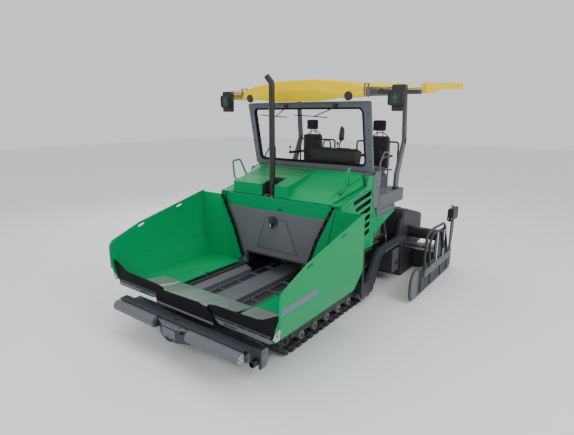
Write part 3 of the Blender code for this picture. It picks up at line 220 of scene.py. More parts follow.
def slab(outline, low, high, plane, holes=()):
    """An outline in a plane, given thickness between two depths, with holes through it."""
    place = PLANES[plane]
    loops = [[Vector((a, b, 0.0)) for a, b in line] for line in (outline, *holes)]
    flat = [point for line in loops for point in line]
    shape = bmesh.new()
    ends = [[shape.verts.new(place(p.x, p.y, depth)) for p in flat] for depth in (low, high)]
    for corners in tessellate_polygon(loops):
        shape.faces.new([ends[0][i] for i in corners])
        shape.faces.new([ends[1][i] for i in reversed(corners)])
    first = 0
    for line in loops:
        for i in range(len(line)):
            here, after = first + i, first + (i + 1) % len(line)
            shape.faces.new((ends[0][here], ends[0][after], ends[1][after], ends[1][here]))
        first += len(line)
    flattened(shape)
    bmesh.ops.recalc_face_normals(shape, faces=shape.faces)
    return shape


def wall(outline, side, near, far, holes=()):
    """An outline in the side view, given thickness on one side of the machine."""
    return slab(outline, side * near, side * far, "side", holes)


def block(x0, x1, s0, s1, z0, z1):
    """A box between two widths, two stations and two heights."""
    return slab([(x0, s0), (x1, s0), (x1, s1), (x0, s1)], z0, z1, "top")


def round_bar(start, end, radius, sides=24, top_radius=None):
    """A round bar between two (x, station, z) points, straight or tapered."""
    first = Vector((start[0], at(start[1]), start[2]))
    last = Vector((end[0], at(end[1]), end[2]))
    along = last - first
    shape = bmesh.new()
    bmesh.ops.create_cone(shape, cap_ends=True, segments=sides, radius1=radius,
        radius2=radius if top_radius is None else top_radius, depth=along.length)
    turn = along.to_track_quat("Z", "Y").to_matrix().to_4x4()
    bmesh.ops.transform(shape, matrix=Matrix.Translation((first + last) / 2) @ turn, verts=shape.verts)
    return shape


def turned(profile, start, direction, sides=32):
    """A closed form turned from (radius, distance) points about a line."""
    shape = bmesh.new()
    rings = []
    for radius, distance in profile:
        ring = []
        for i in range(sides):
            angle = math.tau * i / sides
            ring.append(shape.verts.new((radius * math.cos(angle), radius * math.sin(angle), distance)))
        rings.append(ring)
    for lower, upper in zip(rings, rings[1:]):
        for i in range(sides):
            j = (i + 1) % sides
            shape.faces.new((lower[i], lower[j], upper[j], upper[i]))
    shape.faces.new(list(reversed(rings[0])))
    shape.faces.new(rings[-1])
    origin = Vector((start[0], at(start[1]), start[2]))
    turn = Vector(direction).to_track_quat("Z", "Y").to_matrix().to_4x4()
    bmesh.ops.transform(shape, matrix=Matrix.Translation(origin) @ turn, verts=shape.verts)
    bmesh.ops.recalc_face_normals(shape, faces=shape.faces)
    return shape


def hull(points):
    shape = bmesh.new()
    for x, station, z in points:
        shape.verts.new((x, at(station), z))
    bmesh.ops.convex_hull(shape, input=shape.verts)
    flattened(shape)
    return shape


def lofted(rows, closed=False):
    """A sheet through rows of (x, station, z) points, all of one length."""
    shape = bmesh.new()
    grid = [[shape.verts.new((x, at(s), z)) for x, s, z in row] for row in rows]
    count = len(rows[0])
    for lower, upper in zip(grid, grid[1:]):
        for i in range(count if closed else count - 1):
            j = (i + 1) % count
            shape.faces.new((lower[i], lower[j], upper[j], upper[i]))
    if closed:
        shape.faces.new(list(reversed(grid[0])))
        shape.faces.new(grid[-1])
    bmesh.ops.recalc_face_normals(shape, faces=shape.faces)
    return shape


def joined(shapes):
    """Several shapes gathered into one."""
    mesh = bpy.data.meshes.new("gathered")
    whole = bmesh.new()
    for shape in shapes:
        shape.to_mesh(mesh)
        shape.free()
        whole.from_mesh(mesh)
    bpy.data.meshes.remove(mesh)
    return whole


def rounded(corners, radius, steps=5):
    """A closed outline with its corners rounded; radius is one number or one per corner."""
    radii = [radius] * len(corners) if isinstance(radius, (int, float)) else radius
    path = []
    for i, (place, size) in enumerate(zip(corners, radii)):
        here = Vector(place)
        if not size:
            path.append(tuple(here))
            continue
        back = (Vector(corners[i - 1]) - here).normalized()
        ahead = (Vector(corners[(i + 1) % len(corners)]) - here).normalized()
        half = back.angle(ahead) / 2
        centre = here + (back + ahead).normalized() * (size / math.sin(half))
        first = here + back * (size / math.tan(half)) - centre
        last = here + ahead * (size / math.tan(half)) - centre
        sweep = math.pi - 2 * half
        for step in range(steps + 1):
            part = step / steps
            spot = first * (math.sin((1 - part) * sweep) / math.sin(sweep))
            spot += last * (math.sin(part * sweep) / math.sin(sweep))
            path.append(tuple(centre + spot))
    return path


def panel_line(a0, a1, b0, b1, radius):
    """A rectangular outline with rounded corners."""
    return rounded([(a0, b0), (a1, b0), (a1, b1), (a0, b1)], radius)


def across(side, points):
    """An outline's points on one side of the machine."""
    return [(side * a, b) for a, b in points]


def circle(a0, b0, radius, sides):
    """A round outline about a point of a plane."""
    turns = np.linspace(0, math.tau, sides + 1)[:-1]
    return [(a0 + radius * math.cos(turn), b0 + radius * math.sin(turn)) for turn in turns]


def oblong(a0, b0, a1, b1, width, steps=5):
    """A slot with round ends between two points of a plane."""
    start, end = Vector((a0, b0)), Vector((a1, b1))
    along = (end - start).normalized() * width / 2
    path = []
    for centre, way in ((end, 1), (start, -1)):
        for i in range(steps + 1):
            angle = -math.pi / 2 + math.pi * i / steps
            path.append(tuple(centre + Matrix.Rotation(angle, 2) @ (along * way)))
    return path


# ---- Pieces ----
def solid_object(shape, name="tool"):
    mesh = bpy.data.meshes.new(name)
    if isinstance(shape, bmesh.types.BMesh):
        shape.to_mesh(mesh)
        shape.free()
    else:
        mesh = shape
    thing = bpy.data.objects.new(name, mesh)
    bpy.context.scene.collection.objects.link(thing)
    return thing


def settled(thing):
    """The evaluated mesh of an object, which is then removed."""
    graph = bpy.context.evaluated_depsgraph_get()
    mesh = bpy.data.meshes.new_from_object(thing.evaluated_get(graph))
    bpy.data.objects.remove(thing)
    return mesh


def carved(shape, cutters, operation="DIFFERENCE"):
    """A shape less its cutters, as a mesh."""
    thing = solid_object(shape)
    tools = [solid_object(cutter) for cutter in cutters]
    for tool in tools:
        modifier = thing.modifiers.new("cut", "BOOLEAN")
        modifier.operation = operation
        modifier.solver = "EXACT"
        modifier.object = tool
    mesh = settled(thing)
    for tool in tools:
        bpy.data.objects.remove(tool)
    result = bmesh.new()
    result.from_mesh(mesh)
    bmesh.ops.remove_doubles(result, verts=result.verts, dist=0.00005)
    flattened(result)
    return result


def piece(name, shape, body, look, edge=0.003, stands_for=(), smooth=38, rows=2):
    """A finished piece, of one shape or a list of them, that rides on a body, with its edges rounded."""
    thing = solid_object(joined(shape) if isinstance(shape, list) else shape, name)
    mesh = thing.data
    mesh.name = name
    material, slot = FINISHES[look]
    mesh.materials.clear()
    mesh.materials.append(material)
    mesh.shade_smooth()
    mesh.set_sharp_from_angle(angle=math.radians(smooth))
    if edge:
        bevel = thing.modifiers.new("edges", "BEVEL")
        bevel.width = edge
        bevel.segments = rows
        bevel.limit_method = "ANGLE"
        bevel.angle_limit = math.radians(smooth)
        bevel.harden_normals = True
        bevel.use_clamp_overlap = True
    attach(thing, body)
    if stands_for:
        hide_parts(*([stands_for] if isinstance(stands_for, str) else stands_for))
    return thing


def node_shape(node, merged=True):
    """A copy of a model node's shape, as it comes or with its loose triangles merged."""
    shape = bmesh.new()
    shape.from_mesh(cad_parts[node].data)
    if merged:
        bmesh.ops.remove_doubles(shape, verts=shape.verts, dist=MERGE)
        flattened(shape)
    return shape


def from_cad(node, body, look, edge=0.003):
    """A merged copy of a model node with rounded edges, in place of the node."""
    return piece(f"{node}_body", node_shape(node), body, look, edge, node)


# ---- Repeating and path-following shapes, as node trees ----
SOCKETS = {
    "Geometry": "NodeSocketGeometry",
    "Pattern": "NodeSocketObject",
    "Finish": "NodeSocketMaterial",
}


def new_tree(name, inputs):
    tree = bpy.data.node_groups.new(name, "GeometryNodeTree")
    for label, default in inputs:
        kind = SOCKETS.get(label, "NodeSocketInt" if isinstance(default, int) else "NodeSocketFloat")
        socket = tree.interface.new_socket(label, in_out="INPUT", socket_type=kind)
        if default is not None:
            socket.default_value = default
    tree.interface.new_socket("Geometry", in_out="OUTPUT", socket_type="NodeSocketGeometry")
    return tree, add(tree, "NodeGroupInput").outputs


def close_tree(tree, geometry, material):
    real = add(tree, "GeometryNodeRealizeInstances", {"Geometry": geometry})
    coated = add(tree, "GeometryNodeSetMaterial", {"Geometry": real.outputs[0], "Material": material})
    add(tree, "NodeGroupOutput", {"Geometry": coated.outputs[0]})
    return tree


def turned_points(tree, points, instance, scale=(1, 1, 1)):
    turn = add(tree, "GeometryNodeInputNamedAttribute", {"Name": "turn"}, data_type="FLOAT_VECTOR")
    rotation = add(tree, "FunctionNodeEulerToRotation", {0: turn.outputs[0]})
    return add(tree, "GeometryNodeInstanceOnPoints", {"Points": points, "Instance": instance,
        "Rotation": rotation.outputs[0], "Scale": scale})


def pattern_tree():
    tree, given = new_tree("repeat_a_part", [("Geometry", None), ("Pattern", None), ("Finish", None)])
    part = add(tree, "GeometryNodeObjectInfo", {"Object": given["Pattern"]})
    spread = turned_points(tree, given["Geometry"], part.outputs["Geometry"])
    return close_tree(tree, spread.outputs[0], given["Finish"])


def bolt_tree():
    """A hex head on a washer at each point."""
    sizes = [("Head radius", 0.012), ("Head height", 0.008), ("Washer radius", 0.017),
        ("Washer height", 0.003)]
    tree, given = new_tree("bolt_heads", [("Geometry", None), *sizes, ("Finish", None)])
    parts = []
    for radius, height, sides in (("Head radius", "Head height", 6), ("Washer radius", "Washer height", 16)):
        disc = add(tree, "GeometryNodeMeshCylinder", {"Vertices": sides, "Radius": given[radius],
            "Depth": given[height]})
        half = add(tree, "ShaderNodeMath", {0: given[height], 1: 0.5}, operation="MULTIPLY")
        lift = half.outputs[0]
        if sides == 6:
            lift = add(tree, "ShaderNodeMath", {0: lift, 1: given["Washer height"]},
                operation="ADD").outputs[0]
        up = add(tree, "ShaderNodeCombineXYZ", {"Z": lift})
        moved = add(tree, "GeometryNodeTransform", {"Geometry": disc.outputs[0],
            "Translation": up.outputs[0]})
        parts.append(moved.outputs[0])
    both = add(tree, "GeometryNodeJoinGeometry")
    for part in parts:
        tree.links.new(part, both.inputs[0])
    spread = turned_points(tree, given["Geometry"], both.outputs[0])
    return close_tree(tree, spread.outputs[0], given["Finish"])


def tube_tree():
    """A round tube along a path with bent corners."""
    sizes = [("Radius", 0.02), ("Bend", 0.05), ("Sides", 16)]
    tree, given = new_tree("bent_tube", [("Geometry", None), *sizes, ("Finish", None)])
    path = add(tree, "GeometryNodeMeshToCurve", {"Mesh": given["Geometry"]})
    bent = add(tree, "GeometryNodeFilletCurve", {"Curve": path.outputs[0], "Radius": given["Bend"]})
    for socket in bent.inputs:
        if socket.name == "Count":
            socket.default_value = 6
        if socket.name == "Limit Radius":
            socket.default_value = True
    if hasattr(bent, "mode"):
        bent.mode = "POLY"
    ring = add(tree, "GeometryNodeCurvePrimitiveCircle", {"Resolution": given["Sides"],
        "Radius": given["Radius"]})
    skin = add(tree, "GeometryNodeCurveToMesh", {"Curve": bent.outputs[0], "Profile Curve": ring.outputs[0],
        "Fill Caps": True})
    return close_tree(tree, skin.outputs[0], given["Finish"])


TREES = {"pattern": pattern_tree(), "bolts": bolt_tree(), "tube": tube_tree()}


def grown(tree, mesh, values):
    """What a tree makes of a mesh, as a plain mesh."""
    holder = solid_object(mesh, "holder")
    modifier = holder.modifiers.new("tree", "NODES")
    modifier.node_group = tree
    for item in tree.interface.items_tree:
        if item.item_type == "SOCKET" and item.in_out == "INPUT" and item.name in values:
            modifier[item.identifier] = values[item.name]
    result = settled(holder)
    if "turn" in result.attributes:
        result.attributes.remove(result.attributes["turn"])
    return result


def point_mesh(places):
    """Points at (x, station, z) with a turn of (rx, ry, rz) each."""
    mesh = bpy.data.meshes.new("points")
    mesh.from_pydata([(p[0], at(p[1]), p[2]) for p in places], [], [])
    turns = mesh.attributes.new("turn", "FLOAT_VECTOR", "POINT")
    for item, place in zip(turns.data, places):
        item.vector = place[3]
    return mesh


def shown(name, mesh, body, look, stands_for=(), smooth=38):
    return piece(name, mesh, body, look, 0, stands_for, smooth)


def repeated(name, pattern, places, body, look, stands_for=()):
    """Copies of a shape made at the origin, one at each turned place."""
    part = solid_object(pattern, "pattern")
    mesh = grown(TREES["pattern"], point_mesh(places), {"Pattern": part, "Finish": FINISHES[look][0]})
    bpy.data.objects.remove(part)
    return shown(name, mesh, body, look, stands_for)


OUT = {
    "+x": (0.0, math.pi / 2, 0.0),
    "-x": (0.0, -math.pi / 2, 0.0),
    "front": (math.pi / 2, 0.0, 0.0),
    "rear": (-math.pi / 2, 0.0, 0.0),
    "up": (0.0, 0.0, 0.0),
    "down": (math.pi, 0.0, 0.0),
}


def bolts(name, spots, facing, body, radius=0.012, look="bolt", height=None):
    """Bolt heads at (x, station, z) spots, all facing one way."""
    turn = OUT[facing] if isinstance(facing, str) else facing
    places = [(*spot, turn) for spot in spots]
    values = {"Head radius": radius, "Head height": height or radius * 0.65, "Washer radius": radius * 1.4,
        "Washer height": radius * 0.2, "Finish": FINISHES[look][0]}
    return shown(name, grown(TREES["bolts"], point_mesh(places), values), body, look, smooth=30)


def tubes(name, paths, radius, body, look, bend=0.05, sides=16, stands_for=()):
    """Round tubes along (x, station, z) paths."""
    points, edges = [], []
    for path in paths:
        first = len(points)
        points += [(x, at(s), z) for x, s, z in path]
        edges += [(first + i, first + i + 1) for i in range(len(path) - 1)]
    mesh = bpy.data.meshes.new("paths")
    mesh.from_pydata(points, edges, [])
    values = {"Radius": radius, "Bend": bend, "Sides": sides, "Finish": FINISHES[look][0]}
    return shown(name, grown(TREES["tube"], mesh, values), body, look, stands_for, smooth=50)


# ---- Hopper ----
HOPPER_HALF, PLATE = 1.63, 0.02
HINGE_X, HINGE_Z = 0.72, 0.62
LIP = 0.4603
ROLLER_AXIS = (0.215, 0.42)


def hopper_wing(name, side):
    body = f"hopper_wing_{name}"
    slots = []
    for station, height in ((0.98, 1.405), (1.76, 1.590)):
        rise = 0.024
        line = oblong(station - 0.045, height - rise / 2, station + 0.045, height + rise / 2, 0.032)
        slots.append(wall(line, side, 1.5, 1.7))
    arc = rounded([(0.404, 1.02), (0.404, 1.2365), (0.95, 1.446)], [0, 0.13, 0], 8)[:-1]
    slots.append(wall(arc + [(0.56, 1.2965), (0.56, 1.40), (0.36, 1.40), (0.36, 1.02)], side, 0.3, 1.7))
    piece(f"{body}_shell", carved(node_shape(body), slots), body, "green", 0.0035, body)
    hem = [(side * (HOPPER_HALF - 0.004), s, z) for s, z in ((0.407, 0.84), (0.407, 1.2365), (0.95, 1.446),
        (2.33, 1.774))]
    tubes(f"{body}_top_hem", [hem], 0.0095, body, "green", 0.13, 12)
    x = side * (HOPPER_HALF + 0.0004)
    band = [(0.432, 0.985), (0.428, 1.065), (1.155, 1.080), (1.135, 1.000)]
    piece(f"{body}_side_band", slab(band, x, x + side * 0.0012, "side"), body, "band", 0)
    seams = [[(side * 1.488, s, 0.622) for s in (0.47, 2.32)], [(side * (HOPPER_HALF - PLATE - 0.001), s,
        0.945) for s in (0.42, 2.32)], [(side * 1.606, 2.319, z) for z in (0.95, 1.75)]]
    tubes(f"{body}_weld_seams", seams, 0.004, body, "green", 0, 8)
    line = [(1.085, 1.756), (1.140, 1.756), (0.885, 1.242), (0.690, 0.715), (0.640, 0.715), (0.828, 1.242)]
    piece(f"{body}_rear_seal", slab(across(side, line), 2.300, 2.3195, "front"), body, "rubber", 0.003)
    line = [(1.125, 1.752), (1.165, 1.752), (0.93, 0.655), (0.74, 0.655), (0.675, 0.715), (0.870, 1.242)]
    piece(f"{body}_rear_web", slab(across(side, line), 2.3065, 2.3185, "front"), body, "green", 0.002)
    clamp, spots = [], []
    for i in range(6):
        z = 1.66 - i * 0.165
        x = side * (1.1125 - (1.756 - z) * 0.498 + max(1.242 - z, 0.0) * 0.137)
        spots.append((x, 2.292, z))
        clamp.append(block(x - 0.014, x + 0.014, 2.292, 2.301, z - 0.05, z + 0.05))
    piece(f"{body}_seal_clamps", clamp, body, "black", 0.002)
    bolts(f"{body}_seal_bolts", spots, "front", body, 0.008, "charcoal")
    slope = [(HINGE_X + 0.016, LIP + 0.017, 0.6125), (HINGE_X + 0.098, LIP + 0.017, 0.7125),
        (1.148, LIP + 0.017, 0.7125)]
    slope += [(1.148, 1.018, 0.6315), (HINGE_X + 0.028, 1.018, 0.6315)]
    lower = [(x, s, z - 0.012) for x, s, z in slope]
    piece(f"{body}_slope_plate", hull([(side * x, s, z) for x, s, z in slope + lower]), body, "steel", 0.002)
    spots = [(side * x, LIP - 0.0205, 0.654) for x in (0.60, 0.93, 1.10, 1.28, 1.43)]
    bolts(f"{body}_rail_bolts", spots, "front", body, 0.0095)
    hooks = []
    for station in (0.75, 1.45, 2.20):
        barrel = turned([(0.021, 0.0), (0.024, 0.003), (0.024, 0.027), (0.021, 0.03)],
            (side * HINGE_X, station + 0.045, HINGE_Z), (0, 1, 0), 20)
        hooks.append(barrel)
    piece(f"{body}_hinge_barrels", hooks, body, "charcoal", 0.001)


def wing_flap(name, side):
    """The black rubber flap on the front lip, its bolted strip, open rail and end plates."""
    body = f"hopper_wing_{name}"
    corners = [(0.42, 0.70), (0.45, 0.80), (0.60, 0.82), (1.24, 0.835), (1.34, 0.855), (1.52, 0.95),
        (1.60, 0.975), (1.60, 0.935), (1.495, 0.654), (0.62, 0.654)]
    radii = [0.02, 0.03, 0.05, 0.10, 0.10, 0.10, 0.01, 0.01, 0.03, 0.05]
    line = rounded(across(side, corners), radii)
    back = LIP - 0.0006
    piece(f"{body}_flap", slab(line, back - 0.019, back, "front"), body, "rubber", 0.004, f"wing_flap_{name}")
    front = back - 0.0195
    strip = [(0.52, 0.667), (0.52, 0.694), (1.47, 0.690), (1.462, 0.664)]
    piece(f"{body}_flap_strip", slab(across(side, strip), front - 0.005, front, "front"), body, "charcoal",
        0.0015)
    rail = [(0.585, 0.653), (0.655, 0.601), (1.462, 0.596), (1.482, 0.651), (0.66, 0.653)]
    window = rounded([(0.74, 0.611), (0.95, 0.610), (0.95, 0.641), (0.74, 0.642)], 0.008)
    hole = across(side, window)
    shape = slab(across(side, rail), front - 0.010, LIP + 0.001, "front", [hole])
    piece(f"{body}_front_rail", shape, body, "grey", 0.002)
    plate = [(1.510, 0.67), (1.600, 0.90), (1.612, 0.90), (1.612, 0.79), (1.60, 0.76), (1.60, 0.70),
        (1.56, 0.66)]
    shape = slab(across(side, plate), front - 0.022, front - 0.002, "front")
    piece(f"{body}_end_plate", shape, body, "steel", 0.0025)
    bolts(f"{body}_end_plate_bolts", [(side * 1.575, front - 0.022, 0.74),
        (side * 1.59, front - 0.022, 0.84)], "front", body, 0.009)


def hopper_front():
    slope = [(0.515, 0.700), (0.515, 0.7215), (1.02, 0.6165), (1.02, 0.595)]
    piece("apron_slope_plate", slab(slope, -0.70, 0.70, "side"), "machine", "steel", 0.002, "apron_plate")
    shape = [block(-0.58, 0.58, 0.625, 0.645, 0.481, 0.695), block(-0.34, 0.34, 0.43, 0.53, 0.690, 0.709),
        block(-0.35, 0.35, 0.4257, 0.444, 0.575, 0.715)]
    for side in (1, -1):
        shape.append(wall([(0.51, 0.49), (0.51, 0.69), (0.63, 0.69), (0.63, 0.49)], side, 0.33, 0.345))
        shape.append(wall([(0.47, 0.60), (0.47, 0.70), (0.63, 0.66), (0.63, 0.60)], side, 0.55, 0.565))
    piece("apron_brackets", shape, "machine", "charcoal", 0.002)
    corners = [(-0.55, 0.56), (-0.55, 0.70), (-0.50, 0.78), (0.30, 0.80), (0.46, 0.76), (0.57, 0.66),
        (0.60, 0.56)]
    line = rounded(corners, [0.01, 0.03, 0.03, 0.06, 0.06, 0.05, 0.01])
    piece("apron_flap_sheet", slab(line, 0.4045, 0.4252, "front"), "machine", "rubber", 0.004, "apron_flap")
    strip = [(-0.54, 0.572), (-0.54, 0.602), (0.575, 0.602), (0.585, 0.572)]
    piece("apron_flap_strip", slab(strip, 0.3985, 0.4043, "front"), "machine", "grey", 0.0015)
    bolts("apron_flap_bolts", [(-0.48 + i * 0.145, 0.3985, 0.587) for i in range(8)], "front", "machine",
        0.008)


def push_rollers():
    for name, side in SIDES:
        body = f"push_roller_{name}"
        profile = [(0.060, 0.0), (0.072, 0.002), (0.0775, 0.009), (0.078, 0.02), (0.078, 0.868),
            (0.0775, 0.881), (0.072, 0.888), (0.060, 0.890)]
        drum = turned(profile, (side * 0.325, *ROLLER_AXIS), (side, 0, 0), 56)
        piece(f"{body}_drum", drum, body, "grey", 0, f"push_roller_{name}")
        lobes = []
        for spot in circle(*ROLLER_AXIS, 0.047, 8):
            lobe = [(0.0165, 0.0), (0.0165, 0.004), (0.012, 0.007)]
            lobes.append(turned(lobe, (side * 1.2148, *spot), (side, 0, 0), 16))
        hub = [(0.026, 0.0), (0.026, 0.006), (0.018, 0.0075)]
        lobes.append(turned(hub, (side * 1.2148, *ROLLER_AXIS), (side, 0, 0), 24))
        piece(f"{body}_end_cap", lobes, body, "steel", 0)
        pin = turned([(0.0195, 0), (0.0195, 0.025)], (side * 0.290, *ROLLER_AXIS), (side, 0, 0), 20)
        piece(f"{body}_journal", pin, body, "charcoal", 0.001)


def roller_beam():
    body = "push_roller_beam"
    ends = [block(side * 1.21, side * 1.26, 0.16, 0.262, 0.34, 0.49) for side in (1, -1)]
    piece("push_roller_beam_body", carved(node_shape(body, merged=False), ends), body, "charcoal", 0.003,
        body)
    yoke = rounded([(-0.305, 0.235), (-0.13, 0.165), (0.13, 0.165), (0.305, 0.235), (0.305, 0.30),
        (-0.305, 0.30)], [0.02, 0.05, 0.05, 0.02, 0.004, 0.004])
    hole = [(0.035 * math.cos(a) + 0.14, 0.222 + 0.014 * math.sin(a))
        for a in np.linspace(0, math.tau, 20)[:-1]]
    piece("roller_yoke_top", slab(yoke, 0.461, 0.474, "top", [hole]), body, "grey", 0.003)
    piece("roller_yoke_face", slab(panel_line(-0.12, 0.12, 0.30, 0.44, 0.02), 0.161, 0.170, "front"), body,
        "grey", 0.002)
    tubes("tow_hook", [[(-0.055, 0.180, 0.33), (-0.055, 0.158, 0.31), (-0.02, 0.1515, 0.285),
        (0.045, 0.1515, 0.285), (0.075, 0.158, 0.31), (0.075, 0.180, 0.33)]], 0.012, body, "black", 0.02)
    bolts("yoke_bolts", [(x, 0.235 if abs(x) > 0.2 else 0.19, 0.474) for x in (-0.26, -0.09, 0.05, 0.26)],
        "up", body, 0.011)
    for name, side in SIDES:
        bolts(f"roller_beam_cheek_bolts_{name}", [(side * 1.2453, 0.30, 0.385), (side * 1.2453, 0.30, 0.44)],
            OUTWARD[side], body, 0.010)


def push_beam():
    from_cad("push_beam", "machine", "charcoal", 0.004)
    for name, side in SIDES:
        shape = turned([(0.046, 0.0), (0.046, 0.09), (0.031, 0.09), (0.031, 0.02)],
            (side * 1.185, 0.512, 0.24), (0, -1, 0), 24)
        piece(f"bumper_socket_{name}", shape, "machine", "black", 0)
        line = rounded([(0.52, 0.16), (0.60, 0.16), (0.64, 0.22), (0.64, 0.40), (0.52, 0.40)], 0.02)
        piece(f"bumper_end_{name}", wall(line, side, 1.2505, 1.262), "machine", "grey", 0.002)
        bolts(f"bumper_end_bolts_{name}", [(side * 1.262, 0.56, 0.22), (side * 1.262, 0.56, 0.35)],
            OUTWARD[side], "machine", 0.012)
    bolts("bumper_face_bolts", [(x, 0.5095, z) for x in (-1.0, -0.6, 0.6, 1.0) for z in (0.26, 0.36)],
        "front", "machine", 0.012)


def hopper_wall():
    from_cad("hopper_rear_wall", "machine", "grey", 0.002)
    # A thin black ring round the hatch: painted shade in the gap between hatch and wall.
    line = [(-0.36, 0.93), (-0.17, 1.47), (0.245, 1.46), (0.47, 0.93)]
    inner = [(-0.352, 0.936), (-0.166, 1.464), (0.241, 1.454), (0.462, 0.936)]
    piece("hatch_gap", slab(line, 2.3545, 2.3557, "front", [inner]), "machine", "black", 0)
    spots = [(-0.26, 0.97), (0.35, 0.97), (-0.12, 1.40), (0.20, 1.38), (-0.18, 1.17), (0.28, 1.20),
        (0.05, 0.96)]
    bolts("hatch_bolts", [(x, 2.3557, z) for x, z in spots], "front", "machine", 0.007)
    hood = panel_line(-0.055, 0.035, 1.40, 1.505, [0.004, 0.004, 0.035, 0.035])
    shape = [slab(hood, 2.29, 2.356, "front"), block(-0.045, -0.005, 2.30, 2.355, 1.31, 1.40),
        block(0.04, 0.075, 2.32, 2.355, 1.36, 1.46)]
    piece("hatch_latch", shape, "machine", "charcoal", 0.004)
    piece("hatch_latch_pin", round_bar((-0.02, 2.296, 1.325), (-0.02, 2.296, 1.39), 0.011), "machine",
        "chrome", 0.001)
    shape = [slab([(0.56, 0.60), (0.60, 0.60), (0.62, 0.80), (0.56, 0.80)], 2.345, 2.359, "front")]
    shape.append(slab([(-0.60, 0.60), (-0.56, 0.60), (-0.56, 0.80), (-0.62, 0.80)], 2.345, 2.359, "front"))
    shape.append(block(-0.62, 0.62, 2.345, 2.359, 0.80, 0.825))
    piece("tunnel_frame", shape, "machine", "charcoal", 0.002)
    tubes("wall_top_bead", [[(-1.045, 2.37, 1.573), (1.045, 2.37, 1.573)]], 0.006, "machine", "grey", 0, 10)


def conveyors():
    shape = [block(-0.19, 0.19, 1.045, 4.30, 0.4995, 0.5055)]
    for side in (1, -1):
        shape.append(block(side * 0.19, side * 0.196, 1.045, 4.30, 0.405, 0.505))
        cover = [(0.494, 0.405), (0.494, 0.504), (0.640, 0.5655), (0.640, 0.558), (0.501, 0.4995),
            (0.501, 0.405)]
        shape.append(slab(across(side, cover), 1.042, 2.345, "front"))
    piece("conveyor_covers", shape, "machine", "grey", 0.002)
    piece("conveyor_side_trays", [block(side * 0.655, side * 0.80, 0.62, 2.34, 0.568, 0.580)
        for side in (1, -1)], "machine", "charcoal", 0.001)
    for name, side in SIDES:
        links, pins = [], []
        for x in (0.212, 0.480):
            links += [((side * x, 1.08 + i * 0.1025, 0.4225), OUT["up"]) for i in range(31)]
            pins += [((side * x, 1.08 + i * 0.05125, 0.4225), OUT["up"]) for i in range(62)]
        link = slab(oblong(-0.045 + DATUM, 0.0, 0.045 + DATUM, 0.0, 0.032, 3), -0.006, 0.006, "side")
        repeated(f"conveyor_chain_{name}", link, [(*p, t) for p, t in links], "machine", "steel",
            f"conveyor_{name}")
        pin = slab(circle(DATUM, 0, 0.007, 8), -0.014, 0.014, "side")
        repeated(f"conveyor_chain_pins_{name}", pin, [(*p, t) for p, t in pins], "machine", "bolt")
        profile = [(0.0, 0.0), (0.034, 0.0), (0.034, 0.010), (0.012, 0.012), (0.010, 0.036), (0.0, 0.036)]
        bar = slab([(a + DATUM, b) for a, b in profile], -0.133, 0.133, "side")
        places = [(side * 0.346, 1.085 + i * 0.41, 0.4065, OUT["up"]) for i in range(8)]
        repeated(f"conveyor_bars_{name}", bar, places, "machine", "grey")


# ---- Engine housing ----
BODY_HALF, SKIN = 1.205, 0.025
STACK = (-0.16, 2.53)
GRILLE = ((2.80, -0.33), (2.92, 0.205), (3.03, 0.205), (3.12, 0.205), (3.20, 0.205))


